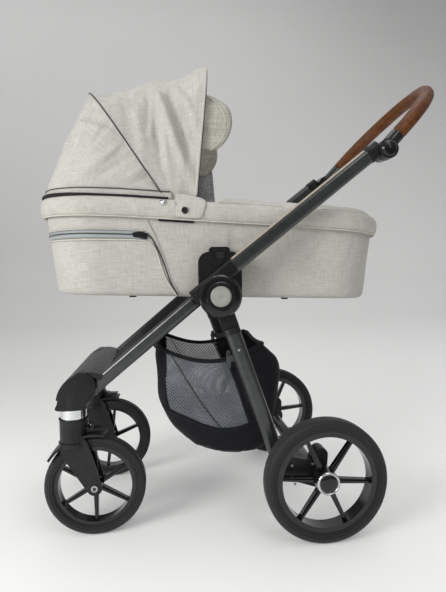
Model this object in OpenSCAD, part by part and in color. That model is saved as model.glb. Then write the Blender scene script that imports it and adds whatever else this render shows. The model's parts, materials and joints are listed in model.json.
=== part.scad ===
// Pram: folding chassis on four wheels with a lift-off carrycot and a hinged hood.
// Millimetres, +Z up. The head end of the cot points along -X, the handle along +X, and the pusher's
// left side is -Y. The origin lies on the floor under the middle of the overall length and width.
// Lengths along X below are measured from the rear axle, unless a comment says otherwise.

/* [Wheels] */
// Diameter of the rear wheels
rear_wheel_d = 290; // [280:1:300]
// Diameter of the front wheels
front_wheel_d = 241; // [232:1:242]
// Width of the rear tyres
rear_tyre_w = 45; // [38:1:46]
// Width of the front tyres
front_tyre_w = 38; // [32:1:40]
// Distance between the middles of the rear tyres
rear_track = 572; // [570:1:600]
// Distance between the middles of the front tyres
front_track = 338; // [330:1:344]
// Distance between the front and rear axles
wheelbase = 539; // [530:1:560]
// Distance of each front axle behind its steering axis
front_trail = 48; // [44:1:50]
// Spokes in each wheel
spokes = 6; // [5:1:7]

/* [Frame] */
// Distance of the folding axis in front of the rear axle
hub_back = 235; // [230:1:240]
// Height of the folding axis above the floor
hub_z = 576; // [570:1:582]
// Depth of the flat handle tubes
handle_tube_d = 37; // [34:1:38]
// Thickness of the flat handle tubes
handle_tube_t = 22; // [20:1:22]
// Slope of the handle tubes in degrees
handle_slope = 38; // [37:0.5:39]
// Depth of the flat front tubes
front_tube_d = 33; // [31:1:34]
// Depth of the flat rear legs
leg_d = 37; // [34:1:38]
// Slope of the rear legs in degrees from the vertical
leg_rake = 19; // [18:0.5:20]
// Travel of the front suspension
suspension_travel = 12; // [8:1:12]

/* [Handle grip] */
// Diameter of the leather grip
grip_d = 33; // [30:1:34]
// Half the width between the arms of the grip
grip_half_w = 207; // [204:1:208]
// Slope of the grip in degrees
grip_slope = 46.9; // [44:0.1:50]
// Reach of the middle of the grip from its pivots
grip_reach = 285; // [280:1:335]

/* [Carrycot] */
// Length of the carrycot over its rim
cot_length = 889; // [880:1:895]
// Width of the carrycot over its rim
cot_width = 398; // [390:1:400]
// Height of the cot's side at the middle of its length
cot_height = 229; // [226:1:232]
// Thickness of the mattress
mattress_t = 32; // [25:1:35]
// Height of the hood above its pivots
hood_rise = 380; // [375:1:385]

/* [Hidden] */
$fn = 64;
eps = 0.01;
fit = 0.05;                 // running clearance of a shaft in its bore
gap = 0.4;                  // clearance between covers that move past each other

// colours
c_graphite = "#3a3d3e";
c_black = "#1b1b1d";
c_gloss = "#0d0d0f";
c_steel = "#b9bcbf";
c_chrome = "#d8dadc";
c_leather = "#9a5a2c";
c_fabric = "#b9b6ab";
c_dark_fabric = "#26262a";
c_cap = "#a7a89f";
c_button = "#303033";
c_hook = "#5d5f60";
c_sheet = "#e6e4de";

// the overall length runs from the head end of the cot's rim to the back of the grip
cot_front = -672;
grip_pivot = [172, 918];
grip_back = grip_pivot[0] + grip_reach * cos(grip_slope) + grip_d / 2;
rear_axle_x = -(cot_front + grip_back) / 2;

rear_r = rear_wheel_d / 2;
front_r = front_wheel_d / 2;
hub_x = -hub_back;
front_axle_x = -wheelbase;
steer_x = front_axle_x - front_trail;
steer_y = front_track / 2;
wheel_y = rear_track / 2;

// layers of each hub, as distances from the middle plane
plate_y = [196, 217];       // root plate and front tube
leg_y = [218, 233.5];       // eye of the rear leg
bracket_y = [234, 248];     // eye and sleeve of the handle
ring_y = [248, 263];        // cover ring
leg_outer_y = 243.5;        // outer side of the leg below its eye
tube_y = [224.5, 246.5];    // handle tube
hub_r = 48;
pivot_r = 9;
sleeve_offset = 31;         // distance of the tubes' line from the folding axis

// point on the handle tubes' line where the tube leaves its bracket
seam = [-200.5, 646.5];
handle_tube_l = 414;
sleeve_l = 122;
front_top = [-295.5, 206, 560];
front_low = [-556, 177, 343.5];
leg_socket_l = 95;
leg_full_from = 80;         // the leg has its full thickness this far from the folding axis
leg_l = 432;

function unit(v) = v / norm(v);
function polar(r, a) = [r * cos(a), r * sin(a)];

// ---------- helpers ----------

// moves from the rear axle's frame to the part's own frame
module placed() translate([rear_axle_x, 0, 0]) children();

// the +Y side as drawn, or its mirror image
module on_side(s) {
    if (s > 0) children();
    else mirror([0, 1, 0]) children();
}

module both_sides() {
    children();
    mirror([0, 1, 0]) children();
}

// stands children, drawn along +Z, on point a and leans them towards point b
module along(a, b) {
    d = b - a;
    translate(a) rotate([0, acos(d[2] / norm(d)), atan2(d[1], d[0])]) children();
}

// flat oval section, depth by thickness
module oval(d, t) {
    square([d - t, t], center = true);
    for (s = [-1, 1]) translate([s * (d - t) / 2, 0]) circle(d = t);
}

module oval_bar(d, t, l) linear_extrude(l) oval(d, t);

module oval_tube(d, t, wall, l) linear_extrude(l) difference() {
    oval(d, t);
    oval(d - 2 * wall, t - 2 * wall);
}

// two discs joined by their common tangents
module link_shape(p, rp, q, rq) {
    a = acos((rp - rq) / norm(q - p));
    w = atan2(q[1] - p[1], q[0] - p[0]);
    translate(p) circle(r = rp);
    translate(q) circle(r = rq);
    polygon([p + polar(rp, w + a), p + polar(rp, w - a), q + polar(rq, w - a), q + polar(rq, w + a)]);
}

// lifts an outline drawn in X and Z to the slab between two values of y
module slab_y(y) translate([0, y[1], 0]) rotate([90, 0, 0]) linear_extrude(y[1] - y[0]) children();

// disc about an axis along Y at point p in X and Z
module disc_y(p, r, y, facets = 64)
    translate([p[0], y[0], p[1]]) rotate([-90, 0, 0]) cylinder(r = r, h = y[1] - y[0], $fn = facets);

// turned shape about an axis along Y; the children's y is the distance along the axis
module turned_y(p, from_y)
    translate([p[0], from_y, p[1]]) rotate([-90, 0, 0]) rotate_extrude($fn = 96) children();

module rounded_rect(l, w, r) {
    square([l - 2 * r, w], center = true);
    square([l, w - 2 * r], center = true);
    for (x = [-1, 1], y = [-1, 1]) translate([x * (l / 2 - r), y * (w / 2 - r)]) circle(r = r);
}

// ---------- front frame ----------

module front_tube_solid(grow = 0)
    along(front_top, front_low)
        oval_bar(front_tube_d + 2 * grow, 21 + 2 * grow, norm(front_low - front_top));

module front_tube(s) color(c_graphite) placed() on_side(s)
    along(front_top, front_low) oval_tube(front_tube_d, 21, 2.5, norm(front_low - front_top));

// plate of each hub, with a plug that fills the top of the front tube
module hub_plates() color(c_black) placed() both_sides() difference() {
    union() {
        disc_y([hub_x, hub_z], hub_r - 2, plate_y);
        along(front_top, front_low) translate([0, 0, -52]) oval_bar(front_tube_d - 5, 16, 110);
        along(front_top, front_low) translate([0, 0, -14]) oval_bar(front_tube_d, 21, 13.9);
    }
    disc_y([hub_x, hub_z], pivot_r + fit, [plate_y[0] - 1, plate_y[1] + 1]);
    disc_y([hub_x, hub_z], 200, [plate_y[1], plate_y[1] + 30]);
}

bridge_axis = [-548, 326];
bridge_r = [62, 75];
module bridge_outline() intersection() {
    translate(bridge_axis) difference() {
        circle(r = bridge_r[1], $fn = 96);
        circle(r = bridge_r[0], $fn = 96);
    }
    translate(bridge_axis) polygon([[0, 0], polar(160, 62), polar(160, 120), polar(160, 172)]);
}

// curved cross-member that joins the two steering heads
module front_bridge() color(c_graphite) placed() {
    slab_y([-135.5, 135.5]) bridge_outline();
    slab_y([-135.5, 135.5]) translate([-604, 334]) rounded_rect(24, 26, 5);
}

head_z = [312, 352];
head_r = 33;
module steering_heads() color(c_black) placed() both_sides() difference() {
    union() {
        translate([steer_x, steer_y, head_z[0]]) cylinder(r = head_r, h = head_z[1] - head_z[0]);
        slab_y([136, 196]) bridge_outline();
        slab_y([152, 198]) link_shape([-585, 340], 12, [-556, 352], 24);
    }
    front_tube_solid(fit);
    translate([steer_x, steer_y, head_z[0] - 1]) cylinder(r = 9 + fit, h = 36);
}

// bolt that joins plate, leg and handle on the folding axis
module hub_pivots() color(c_steel) placed() both_sides() {
    disc_y([hub_x, hub_z], pivot_r, [plate_y[0] - 0.1, 255]);
    disc_y([hub_x, hub_z], 14, [plate_y[0] - 7, plate_y[0] - 0.05]);
}

lug_mid = [hub_x + 4, 652];     // middle of the cot's lug in X and Z
lug_size = [50, 80];
lug_outer_y = 208.6;
button_mid = [hub_x + 4, 672];
release_size = [26, 16];
adaptor_y = [200, 217];

module adaptor_outline() difference() {
    union() {
        translate([lug_mid[0], 634]) rounded_rect(104, 92, 26);
        translate([lug_mid[0], 606]) square([104, 40], center = true);
    }
    translate([hub_x, hub_z]) circle(r = hub_r - 1.9);
    translate([lug_mid[0], 560]) square([140, 50], center = true);
}

// socket on each hub that carries the cot, with a window that lets a finger reach the release button
module cot_adaptors() color(c_black) placed() both_sides() difference() {
    slab_y(adaptor_y) adaptor_outline();
    slab_y([adaptor_y[0] - 1, lug_outer_y + gap])
        translate(lug_mid) rounded_rect(lug_size[0] + 2 * gap, lug_size[1] + 2 * gap, 8);
    slab_y([lug_outer_y, adaptor_y[1] + 1])
        translate(button_mid) rounded_rect(release_size[0] + 6, release_size[1] + 6, 8);
    along(front_top, front_low) translate([0, 0, -53]) oval_bar(front_tube_d + 1, 30, 120);
}

// ---------- basket ----------

basket_half_w = 165;
basket_wall = 4;
// side outline, from the front rim round the bottom to the back rim
basket_outer = [[-392, 452], [-384, 300], [-352, 244], [-290, 198], [-186, 154], [-118, 168],
                [-96, 300], [-82, 400], [-92, 438], [-146, 448], [-200, 424], [-300, 428]];
basket_inner = [[-386, 462], [-380, 301], [-349, 248], [-288, 203], [-186, 159], [-122, 172],
                [-101, 300], [-88, 400], [-97, 433], [-140, 441], [-198, 460]];
module basket() color(c_dark_fabric) placed() difference() {
    slab_y([-basket_half_w, basket_half_w]) polygon(basket_outer);
    slab_y([-basket_half_w + basket_wall, basket_half_w - basket_wall]) polygon(basket_inner);
}

// ---------- handle ----------

// stands children on the handle tube's seam, leaning along the tube; local x points down and back
module on_handle_line(s0 = 0) {
    p = seam + polar(s0, handle_slope);
    translate([p[0], (tube_y[0] + tube_y[1]) / 2, p[1]]) rotate([0, 90 - handle_slope, 0]) children();
}

module handle_tube(s) color(c_graphite) placed() on_side(s)
    on_handle_line() oval_tube(handle_tube_d, handle_tube_t, 2, handle_tube_l);

// the bracket's sleeve lies this much further out than the tube
sleeve_shift = (bracket_y[0] + bracket_y[1] - tube_y[0] - tube_y[1]) / 2;

// eye on the folding axis with the sleeve that runs past it, and a plug inside the tube
module handle_brackets() color(c_black) placed() both_sides() difference() {
    union() {
        disc_y([hub_x, hub_z], hub_r, bracket_y);
        translate([0, sleeve_shift, 0]) on_handle_line(-sleeve_l)
            oval_bar(handle_tube_d, bracket_y[1] - bracket_y[0] - 0.6, sleeve_l);
        on_handle_line(-12) oval_bar(handle_tube_d, handle_tube_t, 11.9);
        on_handle_line(-12) oval_bar(handle_tube_d - 4.2, handle_tube_t - 4.2, 72);
    }
    disc_y([hub_x, hub_z], pivot_r + fit, [bracket_y[0] - 1, bracket_y[1] + 1]);
    disc_y([hub_x, hub_z], 70, [plate_y[1], bracket_y[0]]);
    disc_y([hub_x, hub_z], hub_r + 5, [bracket_y[1], bracket_y[1] + 10]);
}

module hub_rings() color(c_gloss) placed() both_sides()
    turned_y([hub_x, hub_z], ring_y[0] + 0.05)
        polygon([[pivot_r + fit, 0], [hub_r + 2, 0], [hub_r + 2, 6], [hub_r - 2, 11], [34, 12.5],
                 [32, 15], [26, 15], [24.2, 12], [24.2, 8], [pivot_r + fit, 8]]);

module hub_caps() color(c_cap) placed() both_sides()
    turned_y([hub_x, hub_z], 256.2)
        polygon([[0, 0], [24, 0], [24, 6.5], [21, 8.5], [12, 9.4], [0, 9.8]]);

ear_r = 23.5;
button_r = 19;
tilt_travel = 3;
button_y = 246.2;
// collar on the end of each handle tube, with the outer ear of the grip's hinge
module tube_ends() color(c_black) placed() both_sides() difference() {
    union() {
        on_handle_line(handle_tube_l + 0.1 - 34) oval_bar(handle_tube_d - 4.2, handle_tube_t - 4.2, 36);
        on_handle_line(handle_tube_l + 0.1) oval_bar(handle_tube_d + 2, handle_tube_t + 1, 34);
        disc_y(grip_pivot, ear_r, [tube_y[0], 252]);
    }
    disc_y(grip_pivot, 10 + fit, [tube_y[0] - 2, 240]);
    disc_y(grip_pivot, button_r + fit, [button_y - tilt_travel - 0.2, 260]);
    disc_y(grip_pivot, 80, [tube_y[0] - 20, tube_y[0]]);
}

module tilt_button(s) color(c_gloss) placed() on_side(s)
    turned_y(grip_pivot, button_y) polygon([[0, 0], [button_r, 0], [button_r, 8], [15, 11], [0, 12.5]]);

// ---------- grip ----------

// the grip's own plane: x runs out from the pivots along the slope, y across the pram
module in_grip_plane() translate([grip_pivot[0], 0, grip_pivot[1]]) rotate([0, -grip_slope, 0]) children();

grip_arm = grip_reach - grip_half_w;
module grip_bow(r, start) {
    for (s = [-1, 1])
        translate([start, s * grip_half_w, 0]) rotate([0, 90, 0]) cylinder(r = r, h = grip_arm - start);
    translate([grip_arm, 0, 0]) rotate([0, 0, -90]) rotate_extrude(angle = 180, $fn = 128)
        translate([grip_half_w, 0]) circle(r = r, $fn = 48);
}

core_r = 12;
core_wall = 1.6;
core_from = 34;             // where the core and the leather start, from the pivots
leather_from = 62;

module grip_core() color(c_steel) placed() in_grip_plane() difference() {
    grip_bow(core_r, core_from);
    grip_bow(core_r - core_wall, core_from - 1);
}

module grip_leather() color(c_leather) placed() in_grip_plane() difference() {
    grip_bow(grip_d / 2, leather_from);
    grip_bow(core_r + fit, leather_from - 1);
}

// inner ear of the hinge with the socket that holds the end of the core
module grip_sockets() color(c_gloss) placed() both_sides() difference() {
    union() {
        disc_y(grip_pivot, ear_r - 1, [198, 224]);
        disc_y(grip_pivot, 10, [223, 239]);
        in_grip_plane() translate([8, grip_half_w, 0]) rotate([0, 90, 0])
            cylinder(r = 17.5, h = leather_from - 8.2);
    }
    in_grip_plane() translate([core_from - 0.1, grip_half_w, 0]) rotate([0, 90, 0])
        cylinder(r = core_r + fit, h = 40);
    difference() {
        disc_y(grip_pivot, 70, [224, 250]);
        disc_y(grip_pivot, 10, [220, 260]);
    }
}

// ---------- rear legs ----------

// stands children on the folding axis, leaning down along the leg; local x points forward
module on_leg(s0, y) {
    translate([hub_x + s0 * sin(leg_rake), y, hub_z - s0 * cos(leg_rake)])
        rotate([0, 180 - leg_rake, 0]) children();
}
leg_mid_y = (leg_y[0] + leg_outer_y) / 2;
leg_t = leg_outer_y - leg_y[0];

module leg_solid(grow, from, to)
    on_leg(from, leg_mid_y) oval_bar(leg_d + 2 * grow, leg_t + 2 * grow, to - from);

module rear_leg(s) color(c_graphite) placed() on_side(s)
    on_leg(leg_socket_l, leg_mid_y) oval_tube(leg_d, leg_t, 2, leg_l - leg_socket_l);

// eye on the folding axis, and the glossy socket that holds the top of the leg
module leg_sockets() color(c_gloss) placed() both_sides() difference() {
    union() {
        disc_y([hub_x, hub_z], hub_r - 2, leg_y);
        intersection() {
            on_leg(0, leg_mid_y) oval_bar(leg_d + 3, leg_t, leg_socket_l - 0.1);
            slab_y(leg_y) translate([hub_x, hub_z]) circle(r = 200);
        }
        on_leg(leg_full_from, leg_mid_y) oval_bar(leg_d + 3, leg_t, leg_socket_l - leg_full_from - 0.1);
        on_leg(leg_full_from + 2, leg_mid_y) oval_bar(leg_d - 4.2, leg_t - 4.2, 60);
    }
    disc_y([hub_x, hub_z], pivot_r + fit, [leg_y[0] - 1, leg_y[1] + 1]);
}

leg_foot = [hub_x + leg_l * sin(leg_rake), hub_z - leg_l * cos(leg_rake)];
axle_tube_p = [-14, rear_r + 4];
housing_y = [214, 259];
pin_r = 3.5;
pin_at = 19;

// die-cast arm from the foot of each leg to the wheel's axle, with the brake inside
module brake_housings() color(c_black) placed() both_sides() difference() {
    union() {
        slab_y(housing_y) link_shape([leg_foot[0] + 4, leg_foot[1] + 2], 27, [-8, rear_r], 30);
        slab_y([housing_y[0], 250]) link_shape([-8, rear_r], 24, [2, rear_r + 44], 17);
    }
    leg_solid(fit, leg_socket_l, leg_l);
    disc_y([0, rear_r], 6 + fit, [230, housing_y[1] + 1]);
    disc_y([0, rear_r + pin_at], pin_r + fit, [228, housing_y[1] + 1]);
    slab_y([housing_y[0] - 1, 224.1]) translate(axle_tube_p) oval(34.2, 26.2);
}

// ribbed cross tube between the housings, with the pedal's hinge lugs and pin
module axle_tube() color(c_graphite) placed() {
    slab_y([-224, 224]) difference() {
        translate(axle_tube_p) oval(34, 26);
        translate(axle_tube_p) oval(29, 21);
        for (x = [-7:7:7], z = [-13.6, 13.6]) translate(axle_tube_p + [x, z]) circle(r = 1.4, $fn = 16);
    }
    pedal_lugs();
    disc_y(pedal_axis, 5, [-46, 46]);
}

module axle_pins() color(c_steel) placed() both_sides() disc_y([0, rear_r], 6, [230.1, 303]);

// hook on each leg that holds the basket's rim
module basket_hooks() color(c_hook) placed() both_sides() {
    slab_y([202, 217.9]) link_shape([-212, 424], 6, [-180, 424], 6);
    slab_y([196, 202.1]) link_shape([-212, 436], 5, [-212, 402], 5);
}

pedal_axis = [22, rear_r + 4];
// foot pedal behind the middle of the axle tube, on its own hinge lugs
module brake_pedal() color(c_black) placed() difference() {
    union() {
        disc_y(pedal_axis, 9, [-40, 40]);
        slab_y([-40, 40]) link_shape(pedal_axis + [4, 2], 5, pedal_axis + [62, 14], 5);
    }
    disc_y(pedal_axis, 5 + fit, [-41, 41]);
}

module pedal_lugs() difference() {
    for (y = [[-52, -40.5], [40.5, 52]]) slab_y(y) link_shape(axle_tube_p + [17, 0], 9, pedal_axis, 9);
    slab_y([-60, 60]) translate(axle_tube_p) oval(34, 26);
}

module brake_pin(s) color(c_steel) placed() on_side(s)
    disc_y([0, rear_r + pin_at], pin_r, [238, 262.2]);

// ---------- wheels ----------

// tyre about an axis along Y through p; r and w are its outer radius and width, h its height
module tyre(p, y, r, w, h) turned_y(p, y) {
    c = h * 0.42;
    translate([r - h, -w / 2 + 2]) square([h - c, w - 4]);
    translate([r - h + 4, -w / 2]) square([h - c - 4, w]);
    translate([r - c - eps, -w / 2 + c]) square([c + eps, w - 2 * c]);
    for (s = [-1, 1]) translate([r - c, s * (w / 2 - c)]) circle(r = c, $fn = 32);
}

// rim, spokes and hub in one moulding; turn sets where the first spoke points
module rim(p, y, r, w, band, hub, turn, spoke_w) {
    spoke_l = r - band - hub + 5;
    turned_y(p, y) {
        translate([r - band, -w / 2 + 3]) square([3, w - 6]);
        for (s = [-1, 1]) translate([r - band, s * (w / 2 - 4.5) - 2]) square([band - 0.2, 4]);
    }
    disc_y(p, hub, [y - w / 2 + 1, y + w / 2 - 1]);
    for (i = [0:spokes - 1]) translate([p[0], y, p[1]]) rotate([0, -turn - i * 360 / spokes, 0])
        translate([hub - 4, 0, 0]) {
            slab_y([-6, 6])
                polygon([[0, -spoke_w / 2 - 2], [spoke_l, -spoke_w / 2], [spoke_l, spoke_w / 2],
                         [0, spoke_w / 2 + 2]]);
            slab_y([-9.5, 9.5]) translate([0, -1.8]) square([spoke_l, 3.6]);
        }
}

rear_tyre_h = 26;
front_tyre_h = 24;

module rear_tyre(s) color(c_black) placed() on_side(s)
    tyre([0, rear_r], wheel_y, rear_r, rear_tyre_w, rear_tyre_h);

module rear_rim(s, turn) color(c_gloss) placed() on_side(s) difference() {
    rim([0, rear_r], wheel_y, rear_r - rear_tyre_h, rear_tyre_w - 3, 13, 27, turn, 9);
    disc_y([0, rear_r], 6 + fit, [200, wheel_y + 18]);
    disc_y([0, rear_r], 22, [wheel_y + 14, wheel_y + 40]);
    for (i = [0:7]) disc_y([0, rear_r] + polar(pin_at, 90 + i * 45), pin_r + 0.6, [255, 274], 24);
}

// domed cap with its bright ring
module rear_cap(s) color(c_chrome) placed() on_side(s)
    turned_y([0, rear_r], wheel_y + 20 + fit)
        polygon([[0, 0], [25, 0], [25, 3.5], [23.5, 5], [20, 5.4], [0, 7]]);

module front_tyre(s) color(c_black) placed() on_side(s)
    tyre([front_axle_x, front_r], steer_y, front_r, front_tyre_w, front_tyre_h);

module front_rim(s, turn) color(c_gloss) placed() on_side(s) difference() {
    rim([front_axle_x, front_r], steer_y, front_r - front_tyre_h, front_tyre_w - 3, 9, 16, turn, 8);
    disc_y([front_axle_x, front_r], 5 + fit, [100, 240]);
}

// ---------- front casters ----------

sleeve_r = 31;
sleeve_z = [264, 311];
cup_z = [222, 286];
cup_r = 33.8;
cup_depth = 24 + suspension_travel;
wheel_clear = 5;

// bright sleeve that the fork slides on, with the stem that turns in the head
module suspension_sleeve(s) color(c_chrome) placed() on_side(s) translate([steer_x, steer_y, 0]) {
    translate([0, 0, sleeve_z[0]]) cylinder(r = sleeve_r, h = sleeve_z[1] - sleeve_z[0]);
    translate([0, 0, sleeve_z[1] - 1]) cylinder(r = 9, h = 35);
}

blade_y = [23, 28.5];
guard_half_w = 28;
module blade_shape() link_shape([front_axle_x, front_r], 18, [-582, 216], 33);

// one fork: the cup that slides on the sleeve, two blades, the mudguard arch and the lever's block
module fork(s) color(c_black) placed() on_side(s) difference() {
    union() {
        translate([steer_x, steer_y, cup_z[0]]) cylinder(r = cup_r, h = cup_z[1] - cup_z[0]);
        translate([steer_x, steer_y, cup_z[0]]) cylinder(r = cup_r + 3, h = 9);
        slab_y([steer_y - blade_y[1], steer_y + blade_y[1]]) blade_shape();
        translate([front_axle_x, steer_y, front_r]) rotate([90, 0, 0]) rotate([0, 0, 78])
            rotate_extrude(angle = 68, $fn = 128) translate([front_r + wheel_clear - 1, -guard_half_w])
                square([6, 2 * guard_half_w]);
        translate([-575, steer_y - 14, 236]) cube([24, 28, 30]);
    }
    disc_y([front_axle_x, front_r], front_r + wheel_clear,
        [steer_y - blade_y[0], steer_y + blade_y[0]], 128);
    translate([steer_x, steer_y, cup_z[1] - cup_depth]) cylinder(r = sleeve_r + fit, h = 60);
    disc_y([front_axle_x, front_r], 5 + fit, [100, 240]);
    disc_y(lever_p, 5.6, [steer_y - 13.5, steer_y + 13.5]);
}

module front_axle(s) color(c_steel) placed() on_side(s) {
    disc_y([front_axle_x, front_r], 5, [steer_y - blade_y[1], steer_y + blade_y[1]]);
    disc_y([front_axle_x, front_r], 8, [steer_y + blade_y[1] + 0.05, steer_y + blade_y[1] + 4]);
    disc_y([front_axle_x, front_r], 8, [steer_y - blade_y[1] - 4, steer_y - blade_y[1] - 0.05]);
}

lever_p = [-546, 258];
// tab that locks the swivelling wheel straight
module lock_lever(s) color(c_black) placed() on_side(s)
    slab_y([steer_y - 13, steer_y + 13]) {
        translate(lever_p) circle(r = 5.5);
        translate(lever_p + [0, -1]) polygon([[0, -4], [28, -1], [30, 3], [0, 4]]);
    }

// ---------- carrycot ----------

cot_mid_x = cot_front + cot_length / 2;
cot_end_r = 150;
base_z = 569;               // height of the cot's underside at the middle of its length
base_tilt = 2;              // the head end lies a little higher
rim_tilt = 3.6;
rim_h = 44;
shell_in = 12;              // the shell's top is set in by this much from the rim
shell_taper = 24;           // and its bottom by this much more

// thin slice of the cot's outline, set in by inset, at height z over the middle of the length
module cot_slice(z, inset, tilt, t = 1) translate([cot_mid_x, 0, z]) rotate([0, tilt, 0])
    linear_extrude(t)
        rounded_rect(cot_length - 2 * inset, cot_width - 2 * inset, cot_end_r - inset, $fn = 40);

rim_top_z = base_z + cot_height;
module cot_outer(inset, bottom) hull() {
    cot_slice(bottom, inset + shell_in + shell_taper, base_tilt);
    cot_slice(bottom + 14, inset + shell_in + shell_taper - 9, base_tilt);
    cot_slice(rim_top_z - 12, inset + shell_in, rim_tilt);
}

// the hood's hinge pins stand on the inside of the shell
module cot_shell() color(c_fabric) placed() {
    cot_tub();
    both_sides() disc_y(hood_axis, 5, [161, 182]);
}

module cot_tub() difference() {
    cot_outer(0, base_z);
    hull() {
        cot_slice(base_z + 7, shell_in + shell_taper - 1, base_tilt);
        cot_slice(rim_top_z, shell_in + 9, rim_tilt, 8);
    }
    both_sides() slab_y([177, 230])
        translate(lug_mid) rounded_rect(lug_size[0] + gap, lug_size[1] + gap, 8.2);
}

// padded band round the top edge
module cot_rim() color(c_fabric) placed() difference() {
    hull() {
        cot_slice(rim_top_z - rim_h, shell_in - 2, rim_tilt);
        cot_slice(rim_top_z - rim_h / 2, 0, rim_tilt);
        cot_slice(rim_top_z - 3, 5, rim_tilt, 3);
    }
    hull() {
        cot_slice(rim_top_z - rim_h - 2, shell_in - gap, rim_tilt);
        cot_slice(rim_top_z - 11, shell_in - gap, rim_tilt);
    }
    cot_slice(rim_top_z - 30, shell_in + 9, rim_tilt, 60);
}

module mattress() color(c_sheet) placed() hull() {
    cot_slice(base_z + 9, shell_in + shell_taper + 5, base_tilt);
    cot_slice(base_z + 8 + mattress_t, shell_in + shell_taper + 1, base_tilt);
}

apron_x = -243;
apron_t = 12;
// padded cover over the foot half of the cot
module apron() color(c_fabric) placed() intersection() {
    hull() {
        cot_slice(rim_top_z + 0.5, 4, rim_tilt);
        cot_slice(rim_top_z + apron_t, 46, rim_tilt);
    }
    translate([apron_x, -300, 500]) cube([700, 600, 500]);
}

module cot_feet() color(c_black) placed()
    for (x = [-443, -50], y = [-1, 1])
        translate([x, y * 112, base_z - 4.5 + (cot_mid_x - x) * tan(base_tilt)]) cylinder(r = 9, h = 4);

release_y = [194.5, 208];
release_travel = 4;

// block in each side of the cot that drops into its adaptor
module cot_lugs() color(c_black) placed() both_sides() difference() {
    slab_y([178, lug_outer_y]) translate(lug_mid) rounded_rect(lug_size[0], lug_size[1], 8);
    disc_y([hub_x, hub_z], hub_r - 2 + gap, [plate_y[0] - gap, 220]);
    slab_y([release_y[0] - release_travel - 0.5, lug_outer_y + 1])
        translate(button_mid) rounded_rect(release_size[0] + 2 * fit, release_size[1] + 2 * fit, 8);
}

module release_button(s) color(c_button) placed() on_side(s)
    slab_y(release_y) translate(button_mid) rounded_rect(release_size[0], release_size[1], 7.9);

// ---------- hood ----------

hood_axis = [-340, 785];
hood_half_w = 186;
hood_lip_x = -285;         // place of the lip at the height of the hood's axis
hood_lip_lean = 6;          // and its lean towards the handle
hood_mid_angle = 33.8;      // lean of the middle bow towards the head end
hood_mid_r = 361;
hood_t = 5;
mid_corner = 125;           // corner radius of the hood's section at the middle bow
lip_corner = 135;           // and at the lip

// arched section, w half wide and h high, standing on the Y axis
module arch(w, h, corner) {
    translate([-w, 0]) square([2 * w, h - corner]);
    translate([-(w - corner), 0]) square([2 * (w - corner), h]);
    for (s = [-1, 1]) translate([s * (w - corner), h - corner]) circle(r = corner, $fn = 40);
}

// slab of an arch across the pram, leaning towards the head end by lean about the hood's axis
module arch_slab(w, h, corner, lean, t) translate([hood_axis[0], 0, hood_axis[1]]) rotate([0, -lean, 0])
    rotate([90, 0, 90]) translate([0, 0, -t / 2]) linear_extrude(t) arch(w, h, corner);

// stands children on the lip's plane, moved back from it by d
module on_lip(d = 0) translate([hood_lip_x, 0, hood_axis[1]]) rotate([0, hood_lip_lean, 0])
    translate([-d, 0, 0]) children();

module lip_slab(w, h, corner, t, d = 0) on_lip(d)
    rotate([90, 0, 90]) translate([0, 0, -t]) linear_extrude(t) arch(w, h, corner);

// fabric from the middle bow to the lip
module hood_panel_front() color(c_fabric) placed() difference() {
    hull() {
        arch_slab(hood_half_w, hood_mid_r, mid_corner, hood_mid_angle - 0.6, 1);
        lip_slab(hood_half_w - 4, hood_rise, lip_corner, 1);
    }
    hull() {
        arch_slab(hood_half_w - hood_t, hood_mid_r - hood_t, mid_corner - 5, hood_mid_angle + 1.6, 1);
        lip_slab(hood_half_w - 4 - hood_t, hood_rise - hood_t, lip_corner - 5, 1);
        lip_slab(hood_half_w - 4 - hood_t, hood_rise - hood_t - 2, lip_corner - 5, 1, -3);
        translate([0, 0, -30]) arch_slab(hood_half_w - hood_t, 60, 30, 0, 40);
    }
    below_rim();
    one_side_of_middle_bow([-600, 0.3]);
}

// fabric from the middle bow down to the head end of the rim
module hood_panel_back() color(c_fabric) placed() difference() {
    hull() {
        arch_slab(hood_half_w, hood_mid_r, mid_corner, hood_mid_angle + 0.6, 1);
        head_end(8, 6);
    }
    hull() {
        arch_slab(hood_half_w - hood_t, hood_mid_r - hood_t, mid_corner - 5, hood_mid_angle - 1, 1);
        translate([0, 0, -8]) head_end(8 + hood_t, 6);
    }
    translate([0, 0, -20]) head_end(20, 40);
    below_rim();
    one_side_of_middle_bow([-0.3, 600]);
}

// space from x[0] to x[1] across the plane of the middle bow
module one_side_of_middle_bow(x) translate([hood_axis[0], 0, hood_axis[1]]) rotate([0, -hood_mid_angle, 0])
    translate([x[0], -300, -300]) cube([x[1] - x[0], 600, 900]);

// everything below the plane on which the hood's fabric stands
module below_rim() translate([0, 0, -60]) cot_slice(rim_top_z + 0.5, -60, rim_tilt, 60);

// head end of the rim's outline, in front of the hood's axis
module head_end(inset, t) intersection() {
    cot_slice(rim_top_z + 0.6, inset, rim_tilt, t);
    translate([cot_front - 50, -300, 600]) cube([hood_axis[0] - cot_front + 50, 600, 500]);
}

bow_r = 4;
// sprung bow standing on the Y axis: legs w to each side, top at height h
module bow(w, h, corner) rotate([90, 0, 90]) {
    for (s = [-1, 1]) {
        translate([s * w, 0, 0]) rotate([-90, 0, 0]) cylinder(r = bow_r, h = h - corner, $fn = 32);
        translate([s * (w - corner), h - corner, 0]) rotate([0, 0, s > 0 ? 0 : 90])
            rotate_extrude(angle = 90, $fn = 64) translate([corner, 0]) circle(r = bow_r, $fn = 32);
    }
    translate([corner - w, h, 0]) rotate([0, 90, 0]) cylinder(r = bow_r, h = 2 * (w - corner), $fn = 32);
}

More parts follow.
